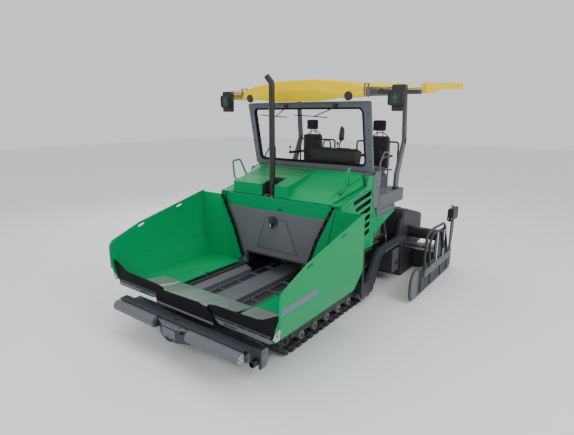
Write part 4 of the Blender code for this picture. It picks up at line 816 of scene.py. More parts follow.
def hood():
    body = "engine_hood"
    rear, slope = 3.26, 0.16

    def forms(inset, drop):
        front = 2.405 + inset
        back = rear - inset
        corners, lump = [], []
        for side in (1, -1):
            corners.append((side * (1.03 - inset), front, 1.81 - drop))
            corners.append((side * (1.165 - inset), back, 2.02 - drop))
            corners.append((side * (1.095 - inset), back, 2.20 - inset))
            corners.append((side * (0.95 - inset), front + slope, 1.955 - inset))
        for x in (-0.92 + inset, 0.245 - inset):
            lump += [(x, front, 1.81 - drop), (x, front, 2.005 - inset), (x, back, 2.20 - inset),
                (x, back, 2.02 - drop)]
        return hull(corners), hull(lump)

    outer, lump = forms(0.0, 0.0)
    whole = carved(outer, [lump], "UNION")
    inner, inner_lump = forms(0.012, 0.12)
    cuts = [inner, inner_lump, block(-0.285, -0.02, 2.3, 2.75, 1.7, 2.3)]
    for station, reach in GRILLE:
        cuts.append(slab(oblong(-0.86, station, reach, station, 0.036), 2.0, 2.4, "top"))
    piece("engine_hood_shell", carved(whole, cuts), body, "green", 0.006, "engine_hood", rows=3)
    liner = [block(-0.287, -0.018, 2.741, 2.748, 1.80, 2.075)]
    liner.append(slab([(2.41, 1.815), (2.41, 1.995), (2.745, 2.07), (2.745, 1.815)], -0.2925, -0.2855,
        "side"))
    liner.append(slab([(2.41, 1.815), (2.41, 1.995), (2.745, 2.07), (2.745, 1.815)], -0.0195, -0.0125,
        "side"))
    piece("exhaust_recess_lining", liner, body, "charcoal", 0.001)
    # A black sheet under the grille and black fills set just below the slots' mouths: painted shade seen
    # through the grille openings.
    tray = slab([(-0.89, 2.77), (0.225, 2.77), (0.225, 3.235), (-0.89, 3.235)], 2.03, 2.035, "top")
    piece("grille_tray", tray, body, "black", 0)
    fill = []
    for station, reach in GRILLE:
        line = [(station + a, 2.005 + (station + a - 2.405) * 0.228 - drop) for a, drop in ((-0.0175, 0.003),
            (0.0175, 0.003), (0.0175, 0.0105), (-0.0175, 0.0105))]
        fill.append(slab(line, -0.872, reach + 0.012, "side"))
    piece("grille_inserts", fill, body, "black", 0)
    for name, side in SIDES:
        loop = [(side * 1.04, 2.66, 1.94), (side * 1.135, 2.66, 2.02), (side * 1.17, 2.66, 2.31),
            (side * 1.12, 2.80, 2.33), (side * 1.055, 2.90, 2.03)]
        tubes(f"grab_handle_{name}", [loop], 0.0175, body, "green", 0.045)
        for i, (x, s, z) in enumerate(((1.035, 2.66, 1.955), (1.05, 2.90, 2.055))):
            foot = turned([(0.030, 0.0), (0.030, 0.006), (0.018, 0.012)], (side * x, s, z),
                (side * 0.55, 0, 1), 20)
            piece(f"grab_handle_foot_{name}_{i}", foot, body, "green", 0.001)
    spots = [(-0.32, 2.46, 2.024), (0.01, 2.46, 2.024), (-0.85, 2.46, 2.024), (0.20, 2.46, 2.024)]
    tilt = (math.atan2(0.195, 0.855), 0, 0)
    bolts("hood_top_bolts", spots, tilt, body, 0.008, "black")
    # A thin black line along the hood's side edges: painted shadow in the groove between the hood and its
    # shoulders.
    lines = [[(side * 0.985, 2.50, 1.90), (side * 1.02, 2.62, 1.972), (side * 1.12, 3.25, 2.145)]
        for side in (1, -1)]
    tubes("hood_edge_joint", lines, 0.0025, body, "black", 0, 6)
    piece("hood_hinge_bar", round_bar((-0.9, 3.2767, 2.186), (0.9, 3.2767, 2.186), 0.008), body, "charcoal",
        0)
    piece("hood_hinge_leaf", block(-0.88, 0.88, 3.245, 3.277, 2.182, 2.190), body, "green", 0.001)


def valance():
    from_cad("front_valance", "machine", "green", 0.006)
    # A thin black sheet on the valance's face: painted shade of a slot.
    piece("valance_slot", slab(panel_line(0.065, 0.155, 1.607, 1.634, 0.006), 2.3785, 2.3795, "front"),
        "machine", "black", 0)
    lip = [(2.385, 1.79), (2.385, 1.8065), (2.392, 1.8065), (2.403, 1.79)]
    piece("valance_fold", slab(lip, -1.02, 1.02, "side"), "machine", "green", 0.002)
    shape = [block(-0.275, -0.03, 2.405, 2.60, 1.771, 1.779), block(-0.255, -0.215, 2.43, 2.52, 1.779, 1.83),
        round_bar((-0.10, 2.44, 1.779), (-0.10, 2.44, 1.82), 0.022)]
    piece("exhaust_foot", shape, "machine", "grey", 0.003)
    for name, side in SIDES:
        cap = [(2.385, 1.80), (2.385, 1.818), (2.44, 1.832), (2.44, 1.81)]
        piece(f"valance_corner_{name}", wall(cap, side, 1.04, 1.203), "machine", "green", 0.003)
        sides = ((0.985, 2.405, 1.793), (1.2045, 2.405, 1.793), (1.125, 3.235, 2.000), (1.2045, 3.235, 2.000))
        shoulder = hull([(side * x, s, z - drop) for x, s, z in sides for drop in (0.0, 0.014)])
        piece(f"hood_shoulder_{name}", shoulder, "machine", "green", 0.003)


def exhaust():
    x, s = STACK
    path = [(x, s, 1.78), (x, s, 3.60), (x - 0.092, s, 3.702)]
    tubes("exhaust_stack", [path], 0.048, "machine", "black", 0.07, 32, "exhaust_pipe")
    mouth = turned([(0.049, 0.0), (0.0495, 0.004), (0.044, 0.006), (0.043, -0.02)], (x - 0.089, s, 3.699),
        (-0.67, 0, 0.742), 32)
    piece("exhaust_mouth", mouth, "machine", "black", 0)
    core = turned([(0.0415, 0.0), (0.0415, 0.0012)], (x - 0.0925, s, 3.7035), (-0.67, 0, 0.742), 32)
    piece("exhaust_bore", core, "machine", "rubber", 0)
    clamp = [turned([(0.0495, 0), (0.054, 0.003), (0.054, 0.022), (0.0495, 0.025)], (x, s, z), (0, 0, 1), 36)
        for z in (1.90, 2.62)]
    piece("exhaust_clamps", clamp, "machine", "charcoal", 0.001)
    piece("exhaust_base", turned([(0.075, 0), (0.075, 0.02), (0.052, 0.05)], (x, s, 1.779), (0, 0, 1), 36),
        "machine", "charcoal", 0.002)


DOOR = [(2.50, 1.02), (2.50, 1.765), (3.12, 1.925), (3.36, 1.925), (3.42, 1.80), (3.50, 1.48), (3.36, 1.02)]
DOOR_FRAME = [(2.492, 1.012), (2.492, 1.7712), (3.119, 1.933), (3.365, 1.933), (3.4275, 1.8027),
    (3.5085, 1.4788), (3.366, 1.012)]


def side_skins():
    for name, side in SIDES:
        face = BODY_HALF + SKIN
        body = f"engine_door_{name}"
        slots = []
        for i in range(6):
            slant = 0.085 - 0.008 * i
            start = 2.80 + 0.075 * i if i < 4 else 3.02 + 0.01 * (i - 4)
            low = 1.815 - i * 0.118
            slots.append(oblong(start, low - 0.02, 3.335 - 0.004 * i, low - 0.02 + slant, 0.074))
        shape = wall(rounded(DOOR, 0.02), side, face - 0.007, face, slots)
        piece(f"{body}_panel", shape, body, "green", 0.003, body)
        # A black sheet behind the louvre slots: painted shade of the engine bay seen through them.
        back = [(2.62, 1.10), (2.62, 1.76), (3.12, 1.90), (3.38, 1.90), (3.45, 1.48), (3.33, 1.10)]
        piece(f"{body}_backing", wall(back, side, BODY_HALF - 0.030, BODY_HALF - 0.025), body, "black", 0)
        out = OUTWARD[side]
        piece(f"{body}_hinge", [round_bar((side * (face + 0.0063), 3.53, 1.44),
            (side * (face + 0.0063), 3.53, 1.52), 0.006), block(side * (face + 0.0006),
            side * (face + 0.0103), 3.455, 3.531, 1.445, 1.515),
            round_bar((side * (face + 0.0063), 3.53, 1.10), (side * (face + 0.0063), 3.53, 1.18), 0.006)],
            body, "green", 0.001)
        bolts(f"{body}_bolts", [(side * face, s, z) for s, z in ((2.56, 1.10), (2.56, 1.70), (3.30, 1.07))],
            out, body, 0.008, "black")
        piece(f"{body}_latch", wall(panel_line(2.56, 2.66, 1.36, 1.42, 0.012), side, face + 0.0002,
            face + 0.010), body, "black", 0.003)
        line = [(2.40, 0.952), (2.40, 1.795), (3.20, 1.995), (3.24, 2.16), (3.46, 2.16), (3.43, 1.85),
            (3.56, 1.435), (4.36, 1.435), (4.36, 1.41), (3.80, 1.24), (3.545, 1.12), (3.50, 0.952)]
        radii = [0.0, 0.02, 0.03, 0.03, 0.01, 0.05, 0.03, 0.004, 0.004, 0.25, 0.05, 0.0]
        skin = wall(rounded(line, radii), side, BODY_HALF, face, [DOOR_FRAME])
        piece(f"body_skin_{name}", skin, "machine", "green", 0.005, f"body_side_{name}", rows=3)
        foot = block(side * 1.10, side * (BODY_HALF + 0.002), 2.405, 2.47, 0.955, 1.78)
        piece(f"body_post_{name}", foot, "machine", "green", 0.004)
        spots = [(3.485, 1.62), (3.53, 1.29), (3.63, 1.38), (3.75, 1.355), (2.45, 1.05), (2.45, 1.60)]
        bolts(f"body_skin_bolts_{name}", [(side * face, s, z) for s, z in spots], out, "machine", 0.008,
            "black")
        top = hull([(side * 1.17, 3.235, 2.03), (side * 1.17, 3.235, 2.155), (side * 1.17, 3.355, 2.155),
            (side * 1.17, 3.355, 2.03), (side * 1.204, 3.235, 2.03), (side * 1.204, 3.235, 2.155),
            (side * 1.204, 3.355, 2.155), (side * 1.204, 3.355, 2.03)])
        piece(f"body_shoulder_{name}", top, "machine", "green", 0.005)
    from_cad("engine_block", "machine", "charcoal", 0.01)
    piece("engine_bay_floor", block(-1.0, 1.0, 2.42, 3.30, 0.951, 0.957), "machine", "black", 0.001)


# ---- Operator's stand ----
FLOOR_TOP = 1.79
COWL_TOP = 2.195
LEAN = math.radians(11.1)
FRAME_STATION = 3.395
FRAME_FOOT = Matrix.Translation((0.0, at(FRAME_STATION), COWL_TOP))
FRAME_TURN = FRAME_FOOT @ Matrix.Rotation(LEAN, 4, "X") @ FRAME_FOOT.inverted()


def leaned_board(outline, back, thick, holes=()):
    """A board on the windshield's leaning plane; outline in (x, height over the cowl)."""
    raised = [[(x, COWL_TOP + z) for x, z in line] for line in (outline, *holes)]
    first = FRAME_STATION + back
    shape = slab(raised[0], first, first + thick, "front", raised[1:])
    bmesh.ops.transform(shape, matrix=FRAME_TURN, verts=shape.verts)
    return shape


def leaned_path(points, back):
    """(x, height) points on the windshield's plane as (x, station, z) points."""
    path = []
    for x, z in points:
        spot = FRAME_TURN @ Vector((x, at(FRAME_STATION + back), COWL_TOP + z))
        path.append((spot.x, spot.y + DATUM, spot.z))
    return path


def ring_box(x, z0, z1, radius):
    """An opening's outline, even about the machine's middle."""
    return rounded([(-x, z0), (x, z0), (x, z1), (-x, z1)], radius, 8)


def windshield():
    opening = ring_box(1.10, 0.11, 1.04, 0.08)
    outer = rounded([(-1.225, 0.014), (1.225, 0.014), (1.23, 1.138), (-1.23, 1.138)], 0.03)
    piece("windshield_frame_board", leaned_board(outer, 0.0, 0.05, [opening]), "machine", "grey", 0.005,
        "windshield_frame", rows=3)
    piece("windshield_sill", block(-1.16, 1.16, 3.40, 3.495, COWL_TOP + 0.001, COWL_TOP + 0.048), "machine",
        "grey", 0.004)
    seal = leaned_board(ring_box(1.112, 0.098, 1.052, 0.09), -0.007, 0.018,
        [ring_box(1.083, 0.127, 1.023, 0.066)])
    piece("windshield_seal", seal, "machine", "rubber", 0.003)
    seal = leaned_board(ring_box(1.108, 0.102, 1.048, 0.088), 0.040, 0.016,
        [ring_box(1.085, 0.125, 1.025, 0.066)])
    piece("windshield_inner_seal", seal, "machine", "rubber", 0.003)
    pane = leaned_board(ring_box(1.0992, 0.111, 1.039, 0.08), 0.020, 0.008)
    piece("windshield_pane", pane, "machine", "glass", 0, "windshield_glass")
    for i, (root, knee, left, right) in enumerate(((-0.36, -0.60, -0.98, -0.36), (0.62, 0.22, -0.20, 0.46))):
        arm = leaned_path([(root, 1.075), (root, 1.06), (knee, 0.915)], -0.022)
        blade = leaned_path([(left, 0.935), (right, 0.895)], -0.016)
        tubes(f"wiper_arm_{i}", [arm], 0.009, "machine", "black", 0.01, 10)
        tubes(f"wiper_blade_{i}", [blade], 0.008, "machine", "rubber", 0, 8)
        mount = leaned_board(panel_line(root - 0.035, root + 0.035, 1.06, 1.11, 0.012), -0.032, 0.034)
        piece(f"wiper_motor_{i}", mount, "machine", "black", 0.004)
    for name, side in SIDES:
        path = leaned_path([(side * 1.185, z) for z in (0.20, 0.45, 0.70, 0.95)], -0.001)
        bolts(f"frame_bolts_{name}", path, (math.pi / 2 + LEAN, 0, 0), "machine", 0.008, "black")


def stand():
    from_cad("operator_platform", "machine", "grey", 0.004)
    piece("cowl_mat", block(-1.155, 1.155, 3.500, 3.61, COWL_TOP + 0.0005, COWL_TOP + 0.006), "machine",
        "rubber", 0.001)
    tread = block(-0.016, 0.016, DATUM - 0.004, DATUM + 0.004, 0, 0.0025)
    places = []
    for i in range(30):
        for j in range(14):
            turn = (0, 0, math.pi / 4 if (i + j) % 2 else -math.pi / 4)
            places.append((-1.16 + i * 0.08, 3.74 + j * 0.066, FLOOR_TOP + 0.0005, turn))
    repeated("floor_tread", tread, places, "machine", "steel")
    piece("floor_sheet", block(-1.20, 1.20, 3.70, 4.68, FLOOR_TOP, FLOOR_TOP + 0.001), "machine", "charcoal",
        0)
    for name, side in SIDES:
        out = OUTWARD[side]
        cheek = rounded([(3.425, 1.66), (3.40, 1.99), (3.475, 2.20), (3.70, 2.215), (3.655, 1.80),
            (3.60, 1.60), (3.50, 1.60)], [0.03, 0.03, 0.02, 0.02, 0.03, 0.02, 0.02])
        piece(f"stand_cheek_{name}", wall(cheek, side, 1.2305, 1.2375), "machine", "grey", 0.003)
        box_line = rounded([(3.535, 1.945), (3.60, 1.93), (3.60, 2.03), (3.535, 2.045)], 0.008)
        inner = rounded([(3.548, 1.960), (3.587, 1.950), (3.587, 2.018), (3.548, 2.028)], 0.005)
        piece(f"cheek_latch_rim_{name}", wall(box_line, side, 1.2377, 1.2425, [inner]), "machine", "black",
            0.001)
        piece(f"cheek_latch_{name}", wall(inner, side, 1.2377, 1.2400), "machine", "chrome", 0.001)
        upper = rounded([(3.66, 1.615), (3.66, 1.775), (4.705, 1.775), (4.64, 1.615)], 0.012)
        lower = rounded([(3.60, 1.45), (3.60, 1.54), (4.34, 1.54), (4.38, 1.45)], 0.012)
        piece(f"side_box_lid_{name}", wall(upper, side, 1.2405, 1.2475), "machine", "grey", 0.003)
        piece(f"side_sill_{name}", wall(lower, side, 1.231, 1.2395), "machine", "grey", 0.003)
        bolts(f"side_sill_bolts_{name}", [(side * 1.2395, 3.68, 1.495), (side * 1.2395, 4.26, 1.495)], out,
            "machine", 0.009)
        quarter = [(3.585, 0.955), (3.585, 1.075), (3.80, 1.225), (4.19, 1.34), (4.19, 0.955)]
        piece(f"side_curved_panel_{name}", wall(rounded(quarter, [0, 0.05, 0.2, 0.02, 0.01]), side, 1.041,
            1.060), "machine", "grey", 0.004)
        x = side * 1.2255
        hoop = [(x, 3.65, FLOOR_TOP + 0.001), (x, 3.65, 2.33), (x, 3.80, 2.50), (x, 3.97, 2.50),
            (x, 3.97, FLOOR_TOP + 0.001)]
        tubes(f"guard_hoop_{name}", [hoop], 0.0145, "machine", "grey", 0.06, 16, f"guard_rail_{name}")
        panel = rounded([(3.665, FLOOR_TOP + 0.10), (3.665, 2.12), (3.95, 2.12), (3.95, FLOOR_TOP + 0.10)],
            0.02)
        piece(f"guard_panel_{name}", wall(panel, side, 1.2215, 1.2295), "machine", "black", 0.002)


def rear_rail():
    station = 4.69
    hoops = [[(side * 0.25, station, FLOOR_TOP + 0.001), (side * 0.25, station, 2.62),
        (side * 1.10, station, 2.62), (side * 1.10, station, FLOOR_TOP + 0.001)] for side in (1, -1)]
    tubes("rear_rail_hoops", hoops, 0.0165, "machine", "charcoal", 0.05, 16, "rear_rail")
    tubes("rear_rail_bar", [[(-1.0, station, 2.10), (1.0, station, 2.10)]], 0.014, "machine", "charcoal", 0)
    feet = [block(x - 0.035, x + 0.035, station - 0.03, station + 0.03, FLOOR_TOP + 0.0005,
        FLOOR_TOP + 0.008) for x in (-1.10, -0.25, 0.25, 1.10)]
    piece("rear_rail_feet", feet, "machine", "charcoal", 0.002)
    cross = [[(0.07, 3.72, FLOOR_TOP + 0.002), (0.07, 3.72, 2.66), (0.07, 3.98, 2.66),
        (0.07, 3.98, FLOOR_TOP + 0.002)]]
    tubes("centre_grab_hoop", cross, 0.0125, "machine", "charcoal", 0.09)


def console():
    body = "operator_console"
    desk = rounded([(3.505, 2.225), (3.500, 2.50), (3.545, 2.555), (3.70, 2.495), (3.70, 2.462),
        (3.625, 2.26), (3.62, 2.225)], [0.01, 0.02, 0.02, 0.012, 0.01, 0.03, 0.01])
    piece("console_desk", slab(desk, -0.02, 0.86, "side"), body, "plastic", 0.008, "operator_console", rows=3)
    piece("console_carriage", [block(0.08, 0.76, 3.50, 3.61, COWL_TOP + 0.008, 2.24), block(0.12, 0.20, 3.49,
        3.62, COWL_TOP + 0.008, 2.23)], body, "charcoal", 0.003)
    top = lambda s: 2.555 - (s - 3.545) * 0.387
    screens = []
    for x in (0.10, 0.46):
        screens.append(hull([(x + a, s, top(s) + h) for a in (0, 0.25) for s in (3.56, 3.67)
            for h in (0.001, 0.014)]))
    piece("console_displays", screens, body, "black", 0.004)
    faces = []
    for x in (0.115, 0.475):
        faces.append(hull([(x + a, s, top(s) + h) for a in (0, 0.22) for s in (3.572, 3.658)
            for h in (0.0142, 0.0155)]))
    piece("console_screens", faces, body, "lens", 0)
    knobs = []
    for i in range(9):
        s = 3.59 + 0.035 * (i % 3)
        knobs.append(turned([(0.009, 0), (0.009, 0.010), (0.006, 0.013)], (0.74 + 0.03 * (i // 3), s, top(s)),
            (0, 0.36, 0.93), 14))
    piece("console_knobs", knobs, body, "charcoal", 0)
    sticks = []
    for x in (0.05, 0.42):
        s = 3.615
        sticks.append(turned([(0.020, 0), (0.014, 0.012), (0.006, 0.02), (0.006, 0.075), (0.016, 0.085),
            (0.018, 0.115), (0.010, 0.128)], (x, s, top(s)), (0, 0.1, 1), 16))
    piece("console_levers", sticks, body, "black", 0)
    eye, way = (0.49, 3.62, 2.80), (-0.92, -0.36, 0.10)
    tubes("mirror_stalk", [[(0.47, 3.60, 2.53), (0.47, 3.61, 2.64), (0.52, 3.625, 2.70), (0.52, 3.63, 2.79)]],
        0.012, body, "charcoal", 0.03)
    lamp = turned([(0.05, -0.055), (0.09, -0.045), (0.118, -0.015), (0.123, 0.0), (0.123, 0.012),
        (0.112, 0.016), (0.108, 0.010)], eye, way, 40)
    piece("mirror_housing", lamp, body, "charcoal", 0.001)
    glass = turned([(0.107, 0.009), (0.107, 0.0125), (0.06, 0.0145)], eye, way, 40)
    piece("mirror_face", glass, body, "grey", 0)
    ribs = [turned([(r + 0.003, 0.012), (r + 0.003, 0.0185), (r - 0.003, 0.0185)], eye, way, 40)
        for r in (0.085, 0.05)]
    piece("mirror_rings", ribs, body, "charcoal", 0)
    piece("mirror_clamp", turned([(0.022, -0.07), (0.03, -0.06), (0.03, -0.02), (0.02, -0.01)],
        (0.52, 3.628, 2.76), (0, 0, 1), 20), body, "black", 0)


SEATS = {"left": 0.88, "right": -0.55}
SEAT_STATION = 4.05
PAD_WAIST = 0.035
PAD_VOXEL = 0.009
PAD_PRESSURE = 4.0
PAD_STEPS = 16


def pad_block(size, crown, corner):
    """A closed pad about the origin whose faces crown and whose sides pull in."""
    shape = bmesh.new()
    bmesh.ops.create_cube(shape, size=2.0)
    bmesh.ops.subdivide_edges(shape, edges=shape.edges, cuts=11, use_grid_fill=True)
    half = Vector(size) / 2
    thin = min(range(3), key=lambda i: size[i])
    for vert in shape.verts:
        unit = vert.co.copy()
        spots = [i for i in range(3) if i != thin]
        pull = 1.0 - PAD_WAIST * abs(unit[spots[0]] * unit[spots[1]]) ** 3
        fall = (1 - unit[spots[0]] ** 4) * (1 - unit[spots[1]] ** 4)
        for i in spots:
            vert.co[i] = unit[i] * half[i] * pull * (1 - corner * unit[thin] ** 4)
        vert.co[thin] = unit[thin] * half[thin] * (1 - crown + crown * fall)
    return shape


def stuffed(thing, cap):
    """Blows a pad up with a little air pressure and keeps the result near its start."""
    remesh = thing.modifiers.new("skin", "REMESH")
    remesh.mode = "VOXEL"
    remesh.voxel_size = PAD_VOXEL
    start = settled(thing)
    thing = solid_object(start, "pad")
    before = np.array([v.co[:] for v in start.vertices])
    cloth = thing.modifiers.new("air", "CLOTH")
    cloth.settings.use_pressure = True
    cloth.settings.uniform_pressure_force = PAD_PRESSURE
    cloth.settings.effector_weights.gravity = 0.0
    cloth.settings.quality = 4
    scene = bpy.context.scene
    for step in range(1, PAD_STEPS + 1):
        scene.frame_set(step)
        bpy.context.view_layer.update()
    mesh = settled(thing)
    scene.frame_set(1)
    after = np.array([v.co[:] for v in mesh.vertices])
    move = after - before
    length = np.linalg.norm(move, axis=1, keepdims=True) + 1e-9
    after = before + move * np.minimum(1.0, cap / length)
    for vert, spot in zip(mesh.vertices, after):
        vert.co = spot
    thing = solid_object(mesh, "pad")
    smooth = thing.modifiers.new("smooth", "SMOOTH")
    smooth.factor = 0.5
    smooth.iterations = 4
    return settled(thing)


def channelled(mesh, axis, out, spots, depth, width):
    """Sewn channels pressed into the face that looks along +out."""
    level = max(v.co[out] for v in mesh.vertices)
    for vert in mesh.vertices:
        if vert.co[out] < level * 0.2:
            continue
        for spot in spots:
            near = (vert.co[axis] - spot) / width
            vert.co[out] -= depth * math.exp(-near * near)
    return mesh


def seat_pads():
    pads = {
        "cushion": (pad_block((0.425, 0.445, 0.105), 0.20, 0.06), 0.012, (0.0, -0.025, 2.155)),
        "back": (pad_block((0.42, 0.095, 0.575), 0.22, 0.05), 0.012, (0.0, 0.2645, 2.462)),
        "headrest": (pad_block((0.245, 0.075, 0.185), 0.22, 0.07), 0.008, (0.0, 0.262, 2.925)),
    }
    for kind, (shape, cap, centre) in pads.items():
        mesh = stuffed(solid_object(shape, kind), cap)
        if kind == "cushion":
            channelled(mesh, 1, 2, (-0.14, -0.05, 0.06), 0.006, 0.010)
            channelled(mesh, 0, 2, (-0.15, 0.15), 0.005, 0.009)
        if kind == "back":
            for vert in mesh.vertices:
                vert.co.y = -vert.co.y
            mesh.flip_normals()
            for vert in mesh.vertices:
                if vert.co.y < -0.01:
                    for spot in (-0.16, -0.05, 0.06, 0.17):
                        vert.co.y += 0.006 * math.exp(-(((vert.co.z - spot) / 0.010) ** 2))
        for name, _ in SIDES:
            copy = mesh.copy()
            body = f"seat_{name}"
            copy.transform(Matrix.Translation((SEATS[name] + centre[0], at(SEAT_STATION + centre[1]),
                centre[2])))
            node = {"cushion": f"seat_cushion_{name}", "back": f"seat_back_{name}"}.get(kind, ())
            pad = piece(f"seat_{kind}_{name}_pad", copy, body, "fabric", 0, node, 70)


def seat_frames():
    for name, _ in SIDES:
        body, x, s = f"seat_{name}", SEATS[name], SEAT_STATION
        base = [turned([(0.13, 0), (0.13, 0.012), (0.095, 0.02), (0.085, 0.035)], (x, s, FLOOR_TOP + 0.001),
            (0, 0, 1), 40)]
        for i in range(7):
            z = FLOOR_TOP + 0.036 + i * 0.026
            base.append(turned([(0.080, 0.0), (0.105, 0.010), (0.105, 0.014), (0.080, 0.0255)], (x, s, z),
                (0, 0, 1), 36))
        base.append(block(x - 0.17, x + 0.17, s - 0.18, s + 0.18, 2.02, 2.045))
        base.append(slab(panel_line(s - 0.20, s + 0.21, 2.045, 2.10, 0.02), x - 0.19, x + 0.19, "side"))
        piece(f"seat_base_{name}", base, body, "plastic", 0.003, f"seat_frame_{name}")
        shell = rounded([(x - 0.195, 2.16), (x + 0.195, 2.16), (x + 0.185, 2.74), (x - 0.185, 2.74)], 0.06)
        piece(f"seat_shell_{name}", slab(shell, s + 0.312, s + 0.337, "front"), body, "plastic", 0.008,
            rows=3)
        neck = [[(x + a * 0.055, s + 0.300, 2.70), (x + a * 0.055, s + 0.285, 2.88)] for a in (1, -1)]
        tubes(f"headrest_tubes_{name}", neck, 0.0085, body, "charcoal", 0)
        hook = [[(x - 0.165, s + 0.325, 2.55), (x - 0.165, s + 0.325, 2.72), (x - 0.06, s + 0.325, 2.80),
            (x + 0.06, s + 0.325, 2.80), (x + 0.165, s + 0.325, 2.72), (x + 0.165, s + 0.325, 2.55)]]
        tubes(f"seat_back_hoop_{name}", hook, 0.009, body, "charcoal", 0.05)
        for where, side in (("outer", 1), ("inner", -1)):
            arm = rounded([(s - 0.20, 2.375), (s + 0.30, 2.375), (s + 0.325, 2.395), (s + 0.29, 2.418),
                (s - 0.17, 2.418)], 0.012)
            x0, x1 = x + side * 0.222, x + side * 0.256
            piece(f"armrest_{name}_{where}", slab(arm, x0, x1, "side"), body, "plastic", 0.006, rows=3)
            bar = block(x + side * 0.13, x1 - side * 0.003, s + 0.322, s + 0.333, 2.37, 2.41)
            piece(f"armrest_bracket_{name}_{where}", bar, body, "charcoal", 0.002)
            stick = turned([(0.022, 0), (0.015, 0.014), (0.006, 0.022), (0.006, 0.055), (0.016, 0.066),
                (0.018, 0.10), (0.009, 0.112)], (x + side * 0.239, s - 0.16, 2.417), (0, -0.08, 1), 16)
            piece(f"joystick_{name}_{where}", stick, body, "black", 0)


# ---- Roof ----
ROOF_FOOT = Matrix.Translation((0.0, at(3.0), 3.45))
ROOF_TURN = ROOF_FOOT @ Matrix.Rotation(math.radians(2.3), 4, "X") @ ROOF_FOOT.inverted()


def tipped(shape):
    bmesh.ops.transform(shape, matrix=ROOF_TURN, verts=shape.verts)
    return shape


def tipped_spot(x, s, z):
    spot = ROOF_TURN @ Vector((x, at(s), z))
    return (spot.x, spot.y + DATUM, spot.z)


def smooth_step(value, low, high):
    part = min(max((value - low) / (high - low), 0.0), 1.0)
    return part * part * (3 - 2 * part)


def fascia_low(x):
    """The fascia's wavy lower edge: shallow in the middle, deeper around the lamps."""
    reach = abs(x)
    return 3.320 + 0.045 * smooth_step(reach, 0.40, 0.85)


def fascia_top(x):
    reach = abs(x)
    return 3.664 - 0.062 * smooth_step(reach, 0.25, 1.0) - 0.078 * smooth_step(reach, 0.9, 1.205)


def fascia_fold(x):
    """The crease that runs across the fascia and drops towards its ends."""
    reach = abs(x)
    return 3.515 - 0.075 * smooth_step(reach, 0.35, 0.80)


def work_light(name, side):
    """The work light in the fascia."""
    x, z = (0.963, 3.385) if side > 0 else (-1.006, 3.385)
    cup = turned([(0.040, -0.05), (0.058, -0.03), (0.066, 0.0), (0.068, 0.020), (0.062, 0.024),
        (0.056, 0.014)], (x, 2.985, z + 0.005), (0, -1, -0.10), 36)
    piece(f"work_light_{name}", cup, "machine", "black", 0.001)
    glass = turned([(0.056, 0.012), (0.054, 0.017), (0.03, 0.0215)], (x, 2.985, z + 0.005), (0, -1, -0.10),
        36)
    piece(f"work_light_lens_{name}", glass, "machine", "lens", 0)


def roof_bracket(name, side):
    """The bracket at the roof's front corner."""
    bar = []
    for station in (2.995, 3.115):
        bar.append(slab([(side * 1.2055, 3.40), (side * 1.2055, 3.56), (side * 1.222, 3.56),
            (side * 1.222, 3.40)], station, station + 0.022, "front"))
    bar.append(block(side * 1.2055, side * 1.222, 2.995, 3.137, 3.470, 3.492))
    bar.append(block(side * 1.20, side * 1.245, 2.99, 3.14, 3.556, 3.566))
    bar.append(block(side * 1.20, side * 1.245, 2.99, 3.14, 3.380, 3.392))
    piece(f"roof_side_bracket_{name}", tipped(joined(bar)), "machine", "grey", 0.003)


def awning_pieces(name, side):
    """The sliding awning with its ribs, edge and rail."""
    awning = f"roof_awning_{name}"
    rows = []
    for i in range(25):
        x = side * (0.735 + (1.955 - 0.735) * i / 24)
        rib = 0.004 if (i // 3) % 2 else 0.0
        rows.append([(x, 3.505, 3.4765), (x, 3.505, 3.4955 + rib), (x, 5.385, 3.4955 + rib),
            (x, 5.385, 3.4765)])
    piece(f"{awning}_panel", tipped(lofted(rows, closed=True)), awning, "yellow", 0, awning, smooth=30)
    lip = rounded([(3.482, 3.402), (3.95, 3.402), (4.12, 3.462), (5.386, 3.462), (5.398, 3.568),
        (4.35, 3.568), (4.20, 3.556), (3.482, 3.556)], [0.02, 0.05, 0.05, 0.02, 0.02, 0.05, 0.05, 0.03])
    piece(f"{awning}_edge", tipped(wall(lip, side, 1.90, 1.968)), awning, "yellow", 0.012, rows=3)
    inner = wall([(3.52, 3.505), (5.36, 3.505), (5.36, 3.520), (3.52, 3.520)], side, 1.86, 1.90)
    piece(f"{awning}_stiffener", tipped(inner), awning, "yellow", 0.003)
    rail = [tipped_spot(side * 1.225, 3.492, 3.487), tipped_spot(side * 1.90, 3.492, 3.487)]
    tubes(f"{awning}_front_rail", [rail], 0.0115, awning, "chrome", 0, 16)


def roof_post(name, side):
    """The rear post with its foot and bolts."""
    post = wall(rounded([(4.44, 1.792), (4.56, 1.792), (4.60, 2.06), (4.84, 2.62), (4.84, 2.70),
        (4.75, 3.467), (4.67, 3.464), (4.74, 2.66), (4.46, 2.06)], [0, 0, 0.08, 0.08, 0.08, 0, 0, 0.08, 0.08],
        4), side, 1.136, 1.194)
    piece(f"roof_post_{name}_beam", post, "machine", "grey", 0.008, f"roof_post_{name}", rows=3)
    cuff = [block(side * 1.128, side * 1.202, 4.43, 4.575, 1.7905, 1.83)]
    piece(f"roof_post_{name}_foot", cuff, "machine", "charcoal", 0.004)
    spots = [(side * 1.194, 4.80, 2.60), (side * 1.194, 4.80, 2.70), (side * 1.194, 4.795, 2.80)]
    bolts(f"roof_post_bolts_{name}", spots, OUTWARD[side], "machine", 0.011, "black")


